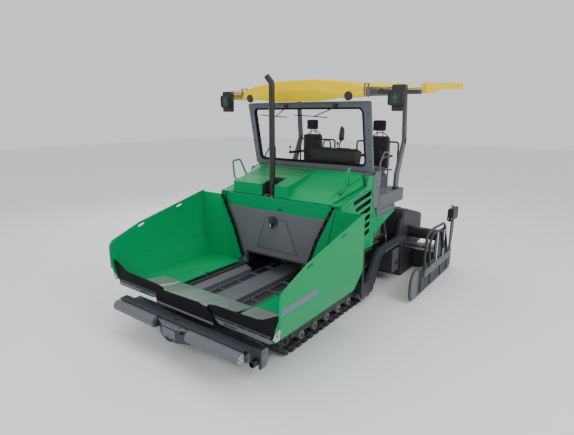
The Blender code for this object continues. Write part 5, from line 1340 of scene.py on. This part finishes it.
def roof_shell():
    rows = []
    for i in range(65):
        x = -1.205 + 2.41 * i / 64
        low, top, fold = fascia_low(x), fascia_top(x), fascia_fold(x)
        corner = 0.022 * smooth_step(abs(x), 1.17, 1.205)
        face = 2.972 + corner
        rows.append([(x, 3.155, low + 0.030), (x, face + 0.030, low + 0.012), (x, face + 0.008, low),
            (x, face, low + 0.010), (x, face + 0.004, fold - 0.012), (x, face + 0.022, fold),
            (x, face + 0.030, fold + 0.010), (x, face + 0.036, top - 0.030), (x, face + 0.050, top - 0.010),
            (x, face + 0.075, top), (x, 3.16, top + 0.002), (x, 3.158, top - 0.02)])
    piece("roof_fascia", tipped(lofted(rows, closed=True)), "machine", "yellow", 0, "roof", smooth=42)
    rows = []
    for i in range(49):
        x = -1.160 + 2.32 * i / 48
        crest = max(fascia_top(x) - 0.002, 3.534)
        top = min(crest, 3.590)
        rise = 0.010 if any(abs(abs(x) - rib) < 0.05 for rib in (0.28, 0.62, 0.95)) else 0.0
        under = 3.516
        rows.append([(x, 3.14, under), (x, 3.14, crest), (x, 3.20, crest - 0.004), (x, 3.56, top + 0.003),
            (x, 3.60, top + rise), (x, 5.32, top + rise), (x, 5.38, top), (x, 5.452, top - 0.006),
            (x, 5.46, top - 0.02), (x, 5.46, under)])
    piece("roof_skin", tipped(lofted(rows, closed=True)), "machine", "yellow", 0, smooth=30)
    shape = []
    for side in (1, -1):
        shape.append(block(side * 1.10, side * 1.20, 3.145, 5.45, 3.402, 3.4745))
        shape.append(block(side * 0.70, side * 0.74, 3.16, 5.40, 3.42, 3.470))
    for station in (3.20, 4.10, 5.0):
        shape.append(block(-1.10, 1.10, station, station + 0.06, 3.415, 3.468))
    piece("roof_frame", tipped(joined(shape)), "machine", "charcoal", 0.003)
    line = rounded([(-1.18, 3.41), (1.18, 3.41), (1.18, 3.52), (0.8, 3.552), (-0.8, 3.552), (-1.18, 3.52)],
        0.015)
    piece("roof_rear_member", tipped(slab(line, 5.41, 5.455, "front")), "machine", "yellow", 0.005)
    for name, side in SIDES:
        work_light(name, side)
        roof_bracket(name, side)
        awning_pieces(name, side)
        roof_post(name, side)


def signal_lights():
    for name, side in SIDES:
        inner, outer = side * 1.567, side * 1.797
        case = rounded([(inner, 3.245), (outer - side * 0.012, 3.237), (outer, 3.462),
            (inner + side * 0.006, 3.455)], 0.035, 6)
        piece(f"signal_case_{name}", slab(case, 3.028, 3.085, "front"), "machine", "plastic", 0.008,
            f"signal_light_{name}", rows=3)
        rim = rounded([(inner + side * 0.012, 3.259), (outer - side * 0.022, 3.252),
            (outer - side * 0.012, 3.450), (inner + side * 0.018, 3.444)], 0.028, 6)
        hollow = rounded([(inner + side * 0.026, 3.273), (outer - side * 0.035, 3.267),
            (outer - side * 0.026, 3.436), (inner + side * 0.031, 3.431)], 0.022, 6)
        piece(f"signal_rim_{name}", slab(rim, 3.012, 3.028, "front", [hollow]), "machine", "black", 0.004)
        piece(f"signal_face_{name}", slab(hollow, 3.0255, 3.0285, "front"), "machine", "lens", 0)
        middle = (inner + outer) / 2
        arrow = [(-0.010, 0.062), (0.010, 0.062), (0.010, 0.018), (0.036, 0.036), (0.036, 0.012),
            (0.0, -0.030), (-0.036, 0.012), (-0.036, 0.036), (-0.010, 0.018)]
        line = [(middle + a, 3.345 + b) for a, b in arrow]
        foot = panel_line(middle - 0.032, middle + 0.032, 3.288, 3.302, 0.004)
        shapes = [slab(line, 3.0225, 3.0253, "front"), slab(foot, 3.0225, 3.0253, "front")]
        piece(f"signal_arrow_{name}", shapes, "machine", "arrow", 0)
        back = rounded([(side * 1.612, 3.165), (side * 1.795, 3.165), (side * 1.798, 3.535),
            (side * 1.60, 3.535)], 0.025, 5)
        piece(f"signal_power_box_{name}", slab(back, 3.086, 3.195, "front"), "machine", "plastic", 0.008,
            rows=3)
        ribs = [block(side * 1.63, side * 1.78, 3.1945, 3.199, 3.20 + i * 0.055, 3.212 + i * 0.055)
            for i in range(6)]
        piece(f"signal_box_ribs_{name}", ribs, "machine", "plastic", 0.001)
        arms = [[(side * 1.212, 3.11, 3.495), (side * 1.61, 3.11, 3.495)], [(side * 1.212, 3.11, 3.392),
            (side * 1.61, 3.11, 3.392)]]
        tubes(f"signal_arms_{name}", arms, 0.0095, "machine", "grey", 0, 12)
        piece(f"signal_bracket_{name}", block(side * 1.2055, side * 1.225, 3.07, 3.15, 3.376, 3.514),
            "machine", "grey", 0.002)


# ---- Running gear ----
BELT, SHOE, SHOE_COUNT = 0.035, 0.025, 40
IDLER, IDLER_RADIUS = Vector((1.22, 0.26)), 0.20
SPROCKET, SPROCKET_RADIUS = Vector((3.52, 0.31)), 0.25
TRACK_INNER, TRACK_WIDTH = 0.875, 0.305
ROLLER_STATIONS = (1.52, 1.86, 2.20, 2.54, 2.88, 3.19)


def belt_spot(distance, height):
    """A (station, z) point over the belt's inner line and the way the belt runs there."""
    span = SPROCKET - IDLER
    lean = math.atan2(span.y, span.x)
    gap = math.asin((SPROCKET_RADIUS - IDLER_RADIUS) / span.length)
    low, high = lean - math.pi / 2 - gap, lean + math.pi / 2 + gap
    straight = span.length * math.cos(gap)
    back, front = SPROCKET_RADIUS * (high - low), IDLER_RADIUS * (math.tau - high + low)
    d = distance % (2 * straight + back + front)
    centre, radius, angle, slide = IDLER, IDLER_RADIUS, low, d
    if d >= straight:
        centre, radius, angle, slide = SPROCKET, SPROCKET_RADIUS, low + (d - straight) / SPROCKET_RADIUS, 0.0
    if d >= straight + back:
        centre, radius, angle, slide = SPROCKET, SPROCKET_RADIUS, high, d - straight - back
    if d >= 2 * straight + back:
        centre, radius, slide = IDLER, IDLER_RADIUS, 0.0
        angle = high + (d - 2 * straight - back) / IDLER_RADIUS
    out = Vector((math.cos(angle), math.sin(angle)))
    spot = centre + out * (radius + height) + Vector((-out.y, out.x)) * slide
    return spot, angle, 2 * straight + back + front


def gear(centre, root, tip, teeth, hole, x0, x1):
    line = []
    for i in range(teeth):
        for part, radius in ((0.0, root), (0.22, root), (0.38, tip), (0.62, tip), (0.78, root)):
            angle = math.tau * (i + part) / teeth
            line.append((centre.x + radius * math.cos(angle), centre.y + radius * math.sin(angle)))
    return slab(line, x0, x1, "side", [circle(*centre, hole, 28)])


def spoked(centre, outer, hub, holes, size, x0, x1):
    gaps = []
    for i in range(holes):
        turn = math.tau * (i + 0.5) / holes
        spot = centre + Vector((math.cos(turn), math.sin(turn))) * hub
        gaps.append(circle(*spot, size, 16))
    return slab(circle(*centre, outer, 48), x0, x1, "side", gaps)


def track_loop(name, middle):
    """A belt with its shoes, links, clips and pins."""
    total = belt_spot(0.0, 0.0)[2]
    half = TRACK_WIDTH / 2
    pitch = total / SHOE_COUNT
    outer = [tuple(belt_spot(i * total / 160, BELT * 0.72)[0]) for i in range(160)]
    inner = [tuple(belt_spot(i * total / 160, 0.004)[0]) for i in range(160)]
    x0, x1 = middle - half * 0.62, middle + half * 0.62
    piece(f"track_belt_{name}", slab(outer, x0, x1, "side", [inner]), "machine", "tread", 0.003,
        f"track_{name}")
    profile = [(-0.052, BELT * 0.72), (0.052, BELT * 0.72), (0.052, 0.040), (0.046, BELT + SHOE - 0.007),
        (0.040, BELT + SHOE - 0.003), (-0.040, BELT + SHOE - 0.003), (-0.046, BELT + SHOE - 0.007),
        (-0.052, 0.040)]
    pad = slab([(a + DATUM, b) for a, b in profile], -half, half, "side")
    link = joined([slab([(a + DATUM, b) for a, b in oblong(-0.050, 0.012, 0.050, 0.012, 0.030, 4)], x,
        x + 0.016, "side") for x in (-half * 0.62 - 0.016, half * 0.62)])
    clip = joined([slab([(-0.03 + DATUM, 0.020), (0.03 + DATUM, 0.020), (0.022 + DATUM, 0.036),
        (-0.022 + DATUM, 0.036)], x, x + 0.006, "side") for x in (-half * 0.97, half * 0.93)])
    places, pins = [], []
    for i in range(SHOE_COUNT):
        spot, angle, _ = belt_spot((i + 0.39) * pitch, 0.0)
        places.append((middle, spot.x, spot.y, (angle - math.pi / 2, 0, 0)))
        spot, angle, _ = belt_spot((i + 0.39) * pitch, 0.012)
        for x in (x0 - 0.020, x1 + 0.004):
            pins.append((x, spot.x, spot.y, OUT["+x"]))
    repeated(f"track_shoes_{name}", pad, places, "machine", "tread")
    repeated(f"track_links_{name}", link, places, "machine", "charcoal")
    repeated(f"track_clips_{name}", clip, places, "machine", "bolt")
    pin = turned([(0.008, 0.0), (0.008, 0.016)], (0, DATUM, 0), (0, 0, 1), 10)
    repeated(f"track_pins_{name}", pin, pins, "machine", "bolt")


def track_wheels(name, side, middle):
    """The sprocket, idler, beam and rollers inside a belt."""
    wheel = [gear(SPROCKET, SPROCKET_RADIUS - 0.040, SPROCKET_RADIUS - 0.004, 17, 0.09, middle - 0.045,
        middle + 0.045)]
    wheel.append(spoked(SPROCKET, 0.150, 0.105, 8, 0.016, middle - 0.075, middle + 0.075))
    wheel.append(turned([(0.085, 0), (0.085, 0.055), (0.06, 0.065)], (middle + side * 0.075, SPROCKET.x,
        SPROCKET.y), (side, 0, 0), 32))
    piece(f"sprocket_{name}", wheel, "machine", "charcoal", 0.003, f"track_frame_{name}")
    idler = [spoked(IDLER, IDLER_RADIUS - 0.006, 0.115, 6, 0.030, middle - 0.055, middle + 0.055)]
    idler.append(turned([(0.06, -0.02), (0.06, 0.03), (0.035, 0.04)],
        (middle + side * 0.06, IDLER.x, IDLER.y), (side, 0, 0), 28))
    piece(f"idler_{name}", idler, "machine", "charcoal", 0.003)
    spots = [(middle + side * 0.130, *spot) for spot in circle(*SPROCKET, 0.065, 8)]
    bolts(f"sprocket_bolts_{name}", spots, OUTWARD[side], "machine", 0.009)
    beam = rounded([(1.30, 0.155), (3.30, 0.155), (3.36, 0.20), (3.30, 0.325), (1.34, 0.325), (1.28, 0.26)],
        0.03)
    piece(f"track_beam_{name}", slab(beam, middle - 0.098, middle + 0.098, "side"), "machine", "charcoal",
        0.006)
    wheels = []
    for s in ROLLER_STATIONS:
        profile = [(0.045, -0.125), (0.060, -0.122), (0.0695, -0.105), (0.0695, -0.045), (0.050, -0.035),
            (0.050, 0.035), (0.0695, 0.045), (0.0695, 0.105), (0.060, 0.122), (0.045, 0.125)]
        wheels.append(turned(profile, (middle, s, 0.131), (1, 0, 0), 28))
    piece(f"track_rollers_{name}", wheels, "machine", "grey", 0.001)
    caps = [(middle + side * 0.125, s, 0.131) for s in ROLLER_STATIONS]
    bolts(f"track_roller_caps_{name}", caps, OUTWARD[side], "machine", 0.020, "charcoal", 0.010)
    guide = [turned([(0.035, -0.05), (0.045, -0.045), (0.045, 0.045), (0.035, 0.05)],
        (middle, s, 0.402 + i * 0.018), (1, 0, 0), 24) for i, s in enumerate((1.95, 2.72))]
    stand = [block(middle - 0.02, middle + 0.02, s - 0.02, s + 0.02, 0.32, 0.39) for s in (1.95, 2.72)]
    piece(f"track_guide_rollers_{name}", guide + stand, "machine", "grey", 0.002)


def tracks():
    for name, side in SIDES:
        middle = side * (TRACK_INNER + TRACK_WIDTH / 2)
        track_loop(name, middle)
        track_wheels(name, side, middle)
    shape = node_shape("chassis_frame", merged=False)
    windows = [block(side * 1.262, side * 1.30, 3.10, 3.45, 0.40, 0.96) for side in (1, -1)]
    piece("chassis_frame_body", carved(shape, windows), "machine", "charcoal", 0, "chassis_frame")


# ---- Auger and screed ----
AUGER = (4.56, 0.36)
GATE_FACE = 1.865
# Slide tubes and rods of each side's extension: station, height and radius.
TUBES = {
    1: ((5.12, 0.86, 0.11), (4.95, 0.68, 0.018), (4.95, 0.585, 0.018)),
    -1: ((5.38, 0.86, 0.11), (4.89, 0.68, 0.018), (4.89, 0.585, 0.018)),
}


def augers():
    for name, side in SIDES:
        body = f"auger_{name}"
        shape = bmesh.new()
        reach, pitch, thick = 1.09, 0.28, 0.012
        steps = 140
        rings = []
        for i in range(steps + 1):
            part = i / steps
            angle = side * part * reach / pitch * math.tau
            ring = []
            for radius, off in ((0.038, -1), (0.158, -1), (0.1675, -0.5), (0.1675, 0.5), (0.158, 1),
                    (0.038, 1)):
                x = side * (0.09 + part * reach) + off * thick / 2
                ring.append(shape.verts.new((x, at(AUGER[0]) - radius * math.sin(angle),
                    AUGER[1] + radius * math.cos(angle))))
            rings.append(ring)
        for a, b in zip(rings, rings[1:]):
            for i in range(6):
                shape.faces.new((a[i], a[(i + 1) % 6], b[(i + 1) % 6], b[i]))
        shape.faces.new(rings[0])
        shape.faces.new(list(reversed(rings[-1])))
        bmesh.ops.recalc_face_normals(shape, faces=shape.faces)
        piece(f"{body}_blade", shape, body, "steel", 0, body, smooth=50)
        shaft = turned([(0.03, 0.0), (0.040, 0.004), (0.040, 1.118), (0.03, 1.1235)], (side * 0.0755, *AUGER),
            (side, 0, 0), 28)
        piece(f"{body}_shaft", shaft, body, "charcoal", 0)
    from_cad("auger_carrier", "machine", "charcoal", 0.003)
    for name, side in SIDES:
        panel = rounded([(4.36, 0.19), (4.36, 0.64), (4.66, 0.64), (4.66, 0.19)], 0.02)
        piece(f"auger_side_plate_{name}", wall(panel, side, 1.2455, 1.2530), "machine", "grey", 0.003)
        cap = turned([(0.05, 0), (0.05, 0.012), (0.038, 0.018)], (side * 1.2530, *AUGER), (side, 0, 0), 28)
        piece(f"auger_bearing_cap_{name}", cap, "machine", "charcoal", 0.001)


def ram():
    top, eye = Vector((4.02, 1.34)), Vector((4.25, 0.77))
    way = (eye - top).normalized()
    line = lambda distance: tuple(top + way * distance)
    length = (eye - top).length
    for name, side in SIDES:
        x = side * 1.165
        shape = [round_bar((x, *line(0.02)), (x, *line(0.372)), 0.0262, 28), round_bar((x, *line(0.345)),
            (x, *line(0.380)), 0.031, 28), round_bar((x, *line(0.03)), (x, *line(0.06)), 0.030, 28),
            round_bar((x - 0.018, *line(0)), (x + 0.018, *line(0)), 0.036, 28)]
        piece(f"lift_barrel_{name}", shape, "machine", "charcoal", 0.002, f"lift_cylinder_{name}")
        stem = [round_bar((x, *line(0.262)), (x, *line(length - 0.036)), 0.0148, 28)]
        piece(f"lift_rod_{name}_stem", stem, "lift_rods", "chrome", 0.001, f"lift_rod_{name}")
        eye_ring = slab(circle(*eye, 0.0415, 32), x - 0.012, x + 0.012, "side", [circle(*eye, 0.033, 32)])
        piece(f"lift_rod_{name}_eye", eye_ring, "lift_rods", "charcoal", 0.002)


def screed_arms():
    body = "screed"
    arm = [(3.23, 0.24), (3.27, 0.38), (3.42, 0.50), (3.60, 0.74), (3.72, 0.82), (4.10, 0.845), (4.60, 0.86),
        (4.66, 1.16), (4.72, 1.20), (4.7397, 1.19), (4.7397, 0.69), (3.92, 0.69), (3.80, 0.60), (3.62, 0.24),
        (3.49, 0.17), (3.30, 0.19)]
    radii = [0.05, 0.08, 0.10, 0.12, 0.10, 0.2, 0.08, 0.04, 0.02, 0, 0, 0.12, 0.10, 0.10, 0.08, 0.05]
    for name, side in SIDES:
        line = rounded(arm, radii)
        shape = [wall(line, side, 1.2005, 1.2585), block(side * 1.19, side * 1.25, 4.70, 4.7395, 0.70, 1.16)]
        piece(f"screed_arm_{name}_plate", shape, body, "charcoal", 0.008, f"screed_arm_{name}", rows=3)
        foot = rounded([(2.985, 0.205), (3.27, 0.285), (3.46, 0.30), (3.52, 0.16), (3.40, 0.095),
            (3.10, 0.095)], 0.03)
        piece(f"screed_arm_foot_{name}", wall(foot, side, 1.2210, 1.2580), body, "grey", 0.006)
        pin = [round_bar((side * 1.143, 4.25, 0.77), (side * 1.205, 4.25, 0.77), 0.016, 24),
            round_bar((side * 1.142, 4.25, 0.77), (side * 1.147, 4.25, 0.77), 0.030, 24)]
        piece(f"screed_arm_{name}_pin", pin, body, "steel", 0.001)
        bolts(f"screed_arm_bolts_{name}", [(side * 1.2585, s, z) for s, z in ((3.40, 0.27), (3.50, 0.33),
            (4.30, 0.77), (4.68, 0.80))], OUTWARD[side], body, 0.013)
        rib = panel_line(3.98, 4.60, 0.725, 0.74, 0.005)
        piece(f"screed_arm_rib_{name}", wall(rib, side, 1.2588, 1.2660), body, "grey", 0.002)


def screed_cover():
    body = "screed"
    from_cad("screed_body", body, "charcoal", 0.006)
    for i in range(3):
        x0, x1 = -1.21 + i * 0.815, -1.21 + i * 0.815 + 0.79
        lid = [(4.95, 1.3385), (4.95, 1.3445), (5.69, 1.1460), (5.69, 1.1400)]
        piece(f"screed_lid_{i}", slab(lid, x0, x1, "side"), body, "charcoal", 0.002)
        x = (x0 + x1) / 2
        tubes(f"screed_lid_handle_{i}", [[(x - 0.07, 5.55, 1.183), (x - 0.07, 5.56, 1.215),
            (x + 0.07, 5.56, 1.215), (x + 0.07, 5.55, 1.183)]], 0.007, body, "black", 0.015, 10)
    for name, side in SIDES:
        end = rounded([(4.78, 0.78), (4.78, 1.30), (4.90, 1.325), (5.66, 1.12), (5.74, 1.05), (5.74, 0.98),
            (5.0, 0.98), (5.0, 0.78)], 0.03)
        piece(f"screed_end_panel_{name}", wall(end, side, 1.2485, 1.2550), body, "charcoal", 0.003)
        # A thin black sheet on the end panel: painted shade of the handle recess.
        handle = rounded([(5.18, 1.10), (5.30, 1.08), (5.30, 1.13), (5.18, 1.16)], 0.012)
        piece(f"screed_recess_{name}", wall(handle, side, 1.2551, 1.2560), body, "black", 0)
        for station, z, radius in TUBES[side]:
            bore = circle(station, z, radius + (0.006 if radius > 0.05 else 0.0012), 36)
            collar = wall(circle(station, z, radius + 0.030, 36), side, 1.2485, 1.266, [bore])
            piece(f"slide_collar_{name}_{int(z * 1000)}", collar, body, "charcoal", 0.003)
    slats = block(-0.0115, 0.0115, DATUM - 0.105, DATUM + 0.105, 0, 0.006)
    places = [(-1.20 + i * 0.048, 5.93, 0.5302, OUT["up"]) for i in range(51)]
    repeated("walkway_grating", slats, places, body, "steel")
    tubes("walkway_edge", [[(-1.22, 6.03, 0.536), (1.22, 6.03, 0.536)]], 0.006, body, "grey", 0, 10)
    bolts("screed_front_bolts", [(-1.1 + i * 0.2, 4.7395, z) for i in range(12) for z in (0.50, 0.62)],
        "front", body, 0.010)
    bolts("screed_rear_bolts", [(-1.1 + i * 0.2, 5.80, 0.95) for i in range(12)], "rear", body, 0.010)


def extension(name, side):
    body, face = f"screed_extension_{name}", GATE_FACE
    line = [(5.468, 0.05), (5.468, 0.42), (5.93, 0.42), (5.93, 0.0), (5.508, 0.0)]
    mould = wall(rounded(line, [0.01, 0.01, 0.01, 0.004, 0.004]), side, 0.62, face + 0.004)
    piece(f"{body}_mould", mould, body, "charcoal", 0.004, body)
    rib = [block(side * x, side * (x + 0.012), 5.55, 5.929, 0.42, 0.50) for x in (0.70, 1.05, 1.40, 1.75)]
    piece(f"{body}_ribs", rib, body, "charcoal", 0.003)
    gate = [(3.60, 0.20), (3.62, 0.10), (3.70, 0.03), (3.85, 0.012), (5.70, 0.012), (5.93, 0.05),
        (5.93, 0.44), (4.30, 0.50), (3.86, 0.56), (3.70, 0.52), (3.62, 0.38)]
    radii = [0.06, 0.05, 0.06, 0.10, 0.05, 0.02, 0.02, 0.1, 0.12, 0.08, 0.08]
    piece(f"{body}_gate", wall(rounded(gate, radii), side, face, face + 0.018), body, "charcoal", 0.004)
    shoe = [(3.66, 0.15), (3.72, 0.06), (3.86, 0.028), (3.95, 0.028), (3.95, 0.50), (3.86, 0.53),
        (3.73, 0.49), (3.66, 0.36)]
    piece(f"{body}_gate_nose", wall(rounded(shoe, 0.04), side, face + 0.018, face + 0.028), body, "grey",
        0.004)
    slots = [panel_line(s, s + 0.05, 0.08, 0.27, 0.012) for s in (4.40, 4.95, 5.45)]
    rib = [wall(line, side, face + 0.018, face + 0.022) for line in slots]
    piece(f"{body}_gate_guides", rib, body, "black", 0.001)
    posts = [block(side * (face + 0.018), side * (face + 0.034), s, s + 0.035, 0.05, 0.46)
        for s in (4.12, 4.62, 5.20, 5.62)]
    piece(f"{body}_gate_posts", posts, body, "charcoal", 0.003)
    beam = panel_line(4.25, 5.72, 0.29, 0.43, 0.012)
    piece(f"{body}_rail_beam", wall(beam, side, face + 0.022, face + 0.050), body, "grey", 0.005)
    out = OUTWARD[side]
    bolts(f"{body}_beam_bolts", [(side * (face + 0.050), s, 0.36) for s in (4.42, 4.90, 5.35, 5.62)], out,
        body, 0.012)
    plate = rounded([(4.85, 0.40), (5.51, 0.40), (5.51, 0.98), (4.98, 0.98), (4.85, 0.76)], 0.03)
    piece(f"{body}_carrier_plate", wall(plate, side, face - 0.018, face + 0.006), body, "charcoal", 0.004)
    for station, z, radius in TUBES[side]:
        big = radius > 0.05
        bar = turned([(radius * 0.97, 0.0), (radius, 0.004), (radius, face - 0.41), (radius, face - 0.4095)],
            (side * 0.40, station, z), (side, 0, 0), 44)
        piece(f"{body}_{'tube' if big else 'rod'}_{int(z * 1000)}", bar, body, "black" if big else "chrome",
            0)
    x = side * (face + 0.032)
    loops = [[(x, 4.30, 0.36), (x, 4.22, 0.62), (x, 4.27, 1.08), (x, 4.60, 1.12), (x, 5.25, 1.10),
        (x, 5.60, 0.38)], [(x, 4.52, 0.40), (x, 4.46, 0.90), (x, 4.62, 1.02), (x, 5.12, 1.00),
        (x, 5.40, 0.40)]]
    tubes(f"{body}_guard_tubes", loops, 0.023, body, "charcoal", 0.16, 18)
    bars = [[(x, 5.30, 0.40), (x, 5.30, 1.00)], [(x, 4.90, 0.40), (x, 4.90, 1.05)]]
    tubes(f"{body}_guard_uprights", bars, 0.010, body, "chrome", 0, 12)
    post = rounded([(5.695, 0.35), (5.775, 0.35), (5.790, 1.06), (5.720, 1.06)], 0.008)
    piece(f"{body}_console_post", wall(post, side, face + 0.012, face + 0.048), body, "grey", 0.005)
    head = rounded([(side * (face - 0.018), 1.075), (side * (face + 0.035), 1.052),
        (side * (face + 0.098), 1.08), (side * (face + 0.098), 1.30), (side * (face + 0.080), 1.318),
        (side * (face - 0.012), 1.305)], 0.02)
    piece(f"{body}_console_head", slab(head, 5.55, 5.89, "front"), body, "plastic", 0.010, rows=3)
    screen = rounded([(side * (face - 0.004), 1.11), (side * (face + 0.084), 1.11),
        (side * (face + 0.084), 1.285), (side * (face - 0.004), 1.278)], 0.01)
    piece(f"{body}_console_panel", slab(screen, 5.8905, 5.8940, "front"), body, "lens", 0.001)
    knob = turned([(0.022, 0), (0.022, 0.012), (0.032, 0.018), (0.033, 0.034), (0.025, 0.044),
        (0.010, 0.048)], (side * (face + 0.02), 5.74, 1.315), (0, 0, 1), 28)
    piece(f"{body}_stop_knob", knob, body, "pad", 0)
    lamps = [turned([(0.013, 0), (0.013, 0.006), (0.008, 0.009)], (side * (face + d), 5.549, 1.11),
        (0, -1, 0), 16) for d in (0.012, 0.070)]
    piece(f"{body}_console_lamps", lamps, body, "chrome", 0)
    cable = [(side * (face + 0.03), 5.84, 1.10), (side * (face + 0.03), 5.88, 0.95),
        (side * (face + 0.03), 5.84, 0.60), (side * (face + 0.02), 5.78, 0.46)]
    tubes(f"{body}_console_conduit", [cable], 0.009, body, "rubber", 0.06, 10)


# ---- Assembly ----
for side_name, side_sign in SIDES:
    hopper_wing(side_name, side_sign)
    wing_flap(side_name, side_sign)
    extension(side_name, side_sign)
hopper_front()
push_rollers()
roller_beam()
push_beam()
hopper_wall()
conveyors()
hood()
valance()
exhaust()
side_skins()
windshield()
stand()
rear_rail()
console()
seat_pads()
seat_frames()
roof_shell()
signal_lights()
tracks()
augers()
ram()
screed_arms()
screed_cover()


# ---- Floor, lights and camera ----
def plain_material(name, colour, rough):
    material = bpy.data.materials.new(name)
    material.use_nodes = True
    shader = material.node_tree.nodes["Principled BSDF"]
    shader.inputs["Base Color"].default_value = (*colour, 1)
    shader.inputs["Roughness"].default_value = rough
    return material


def floor():
    shape = bmesh.new()
    for x, y in ((-40, -40), (40, -40), (40, 40), (-40, 40)):
        shape.verts.new((x, y, -0.001))
    shape.faces.new(shape.verts)
    thing = solid_object(shape, "floor")
    thing.data.materials.append(plain_material("pale_floor", (0.86, 0.86, 0.87), 0.9))


def soft_light(name, place, aim, size, power):
    light = bpy.data.lights.new(name, "AREA")
    light.shape = "RECTANGLE"
    light.size, light.size_y = size
    light.energy = power
    thing = bpy.data.objects.new(name, light)
    thing.location = place
    thing.rotation_euler = (Vector(aim) - Vector(place)).to_track_quat("-Z", "Y").to_euler()
    bpy.context.scene.collection.objects.link(thing)


floor()
soft_light("key_light", (8.5, -1.0, 6.5), (0, 0, 1.2), (5.0, 5.0), 330)
soft_light("front_light", (1.0, -10.0, 6.0), (0, -0.5, 1.2), (7.0, 4.0), 200)
soft_light("top_light", (-0.5, 0.5, 9.0), (0, 0, 0.5), (7.0, 8.0), 240)
soft_light("rim_light", (-8.0, 3.0, 5.0), (0, 0, 1.5), (5.0, 4.0), 150)

world = bpy.data.worlds.new("studio")
world.use_nodes = True
world.node_tree.nodes["Background"].inputs["Color"].default_value = (0.93, 0.95, 1.0, 1)
world.node_tree.nodes["Background"].inputs["Strength"].default_value = 0.95
bpy.context.scene.world = world

camera = bpy.data.cameras.new("camera")
camera.sensor_width = 36.0
camera.lens = 26.73
camera_object = bpy.data.objects.new("camera", camera)
camera_object.location = (4.199, at(-2.932), 3.118)
YAW, PITCH = math.radians(-36.611), math.radians(-13.592)
look_way = Vector((math.sin(YAW) * math.cos(PITCH), math.cos(YAW) * math.cos(PITCH), math.sin(PITCH)))
camera_object.rotation_euler = look_way.to_track_quat("-Z", "Y").to_euler()
bpy.context.scene.collection.objects.link(camera_object)
bpy.context.scene.camera = camera_object
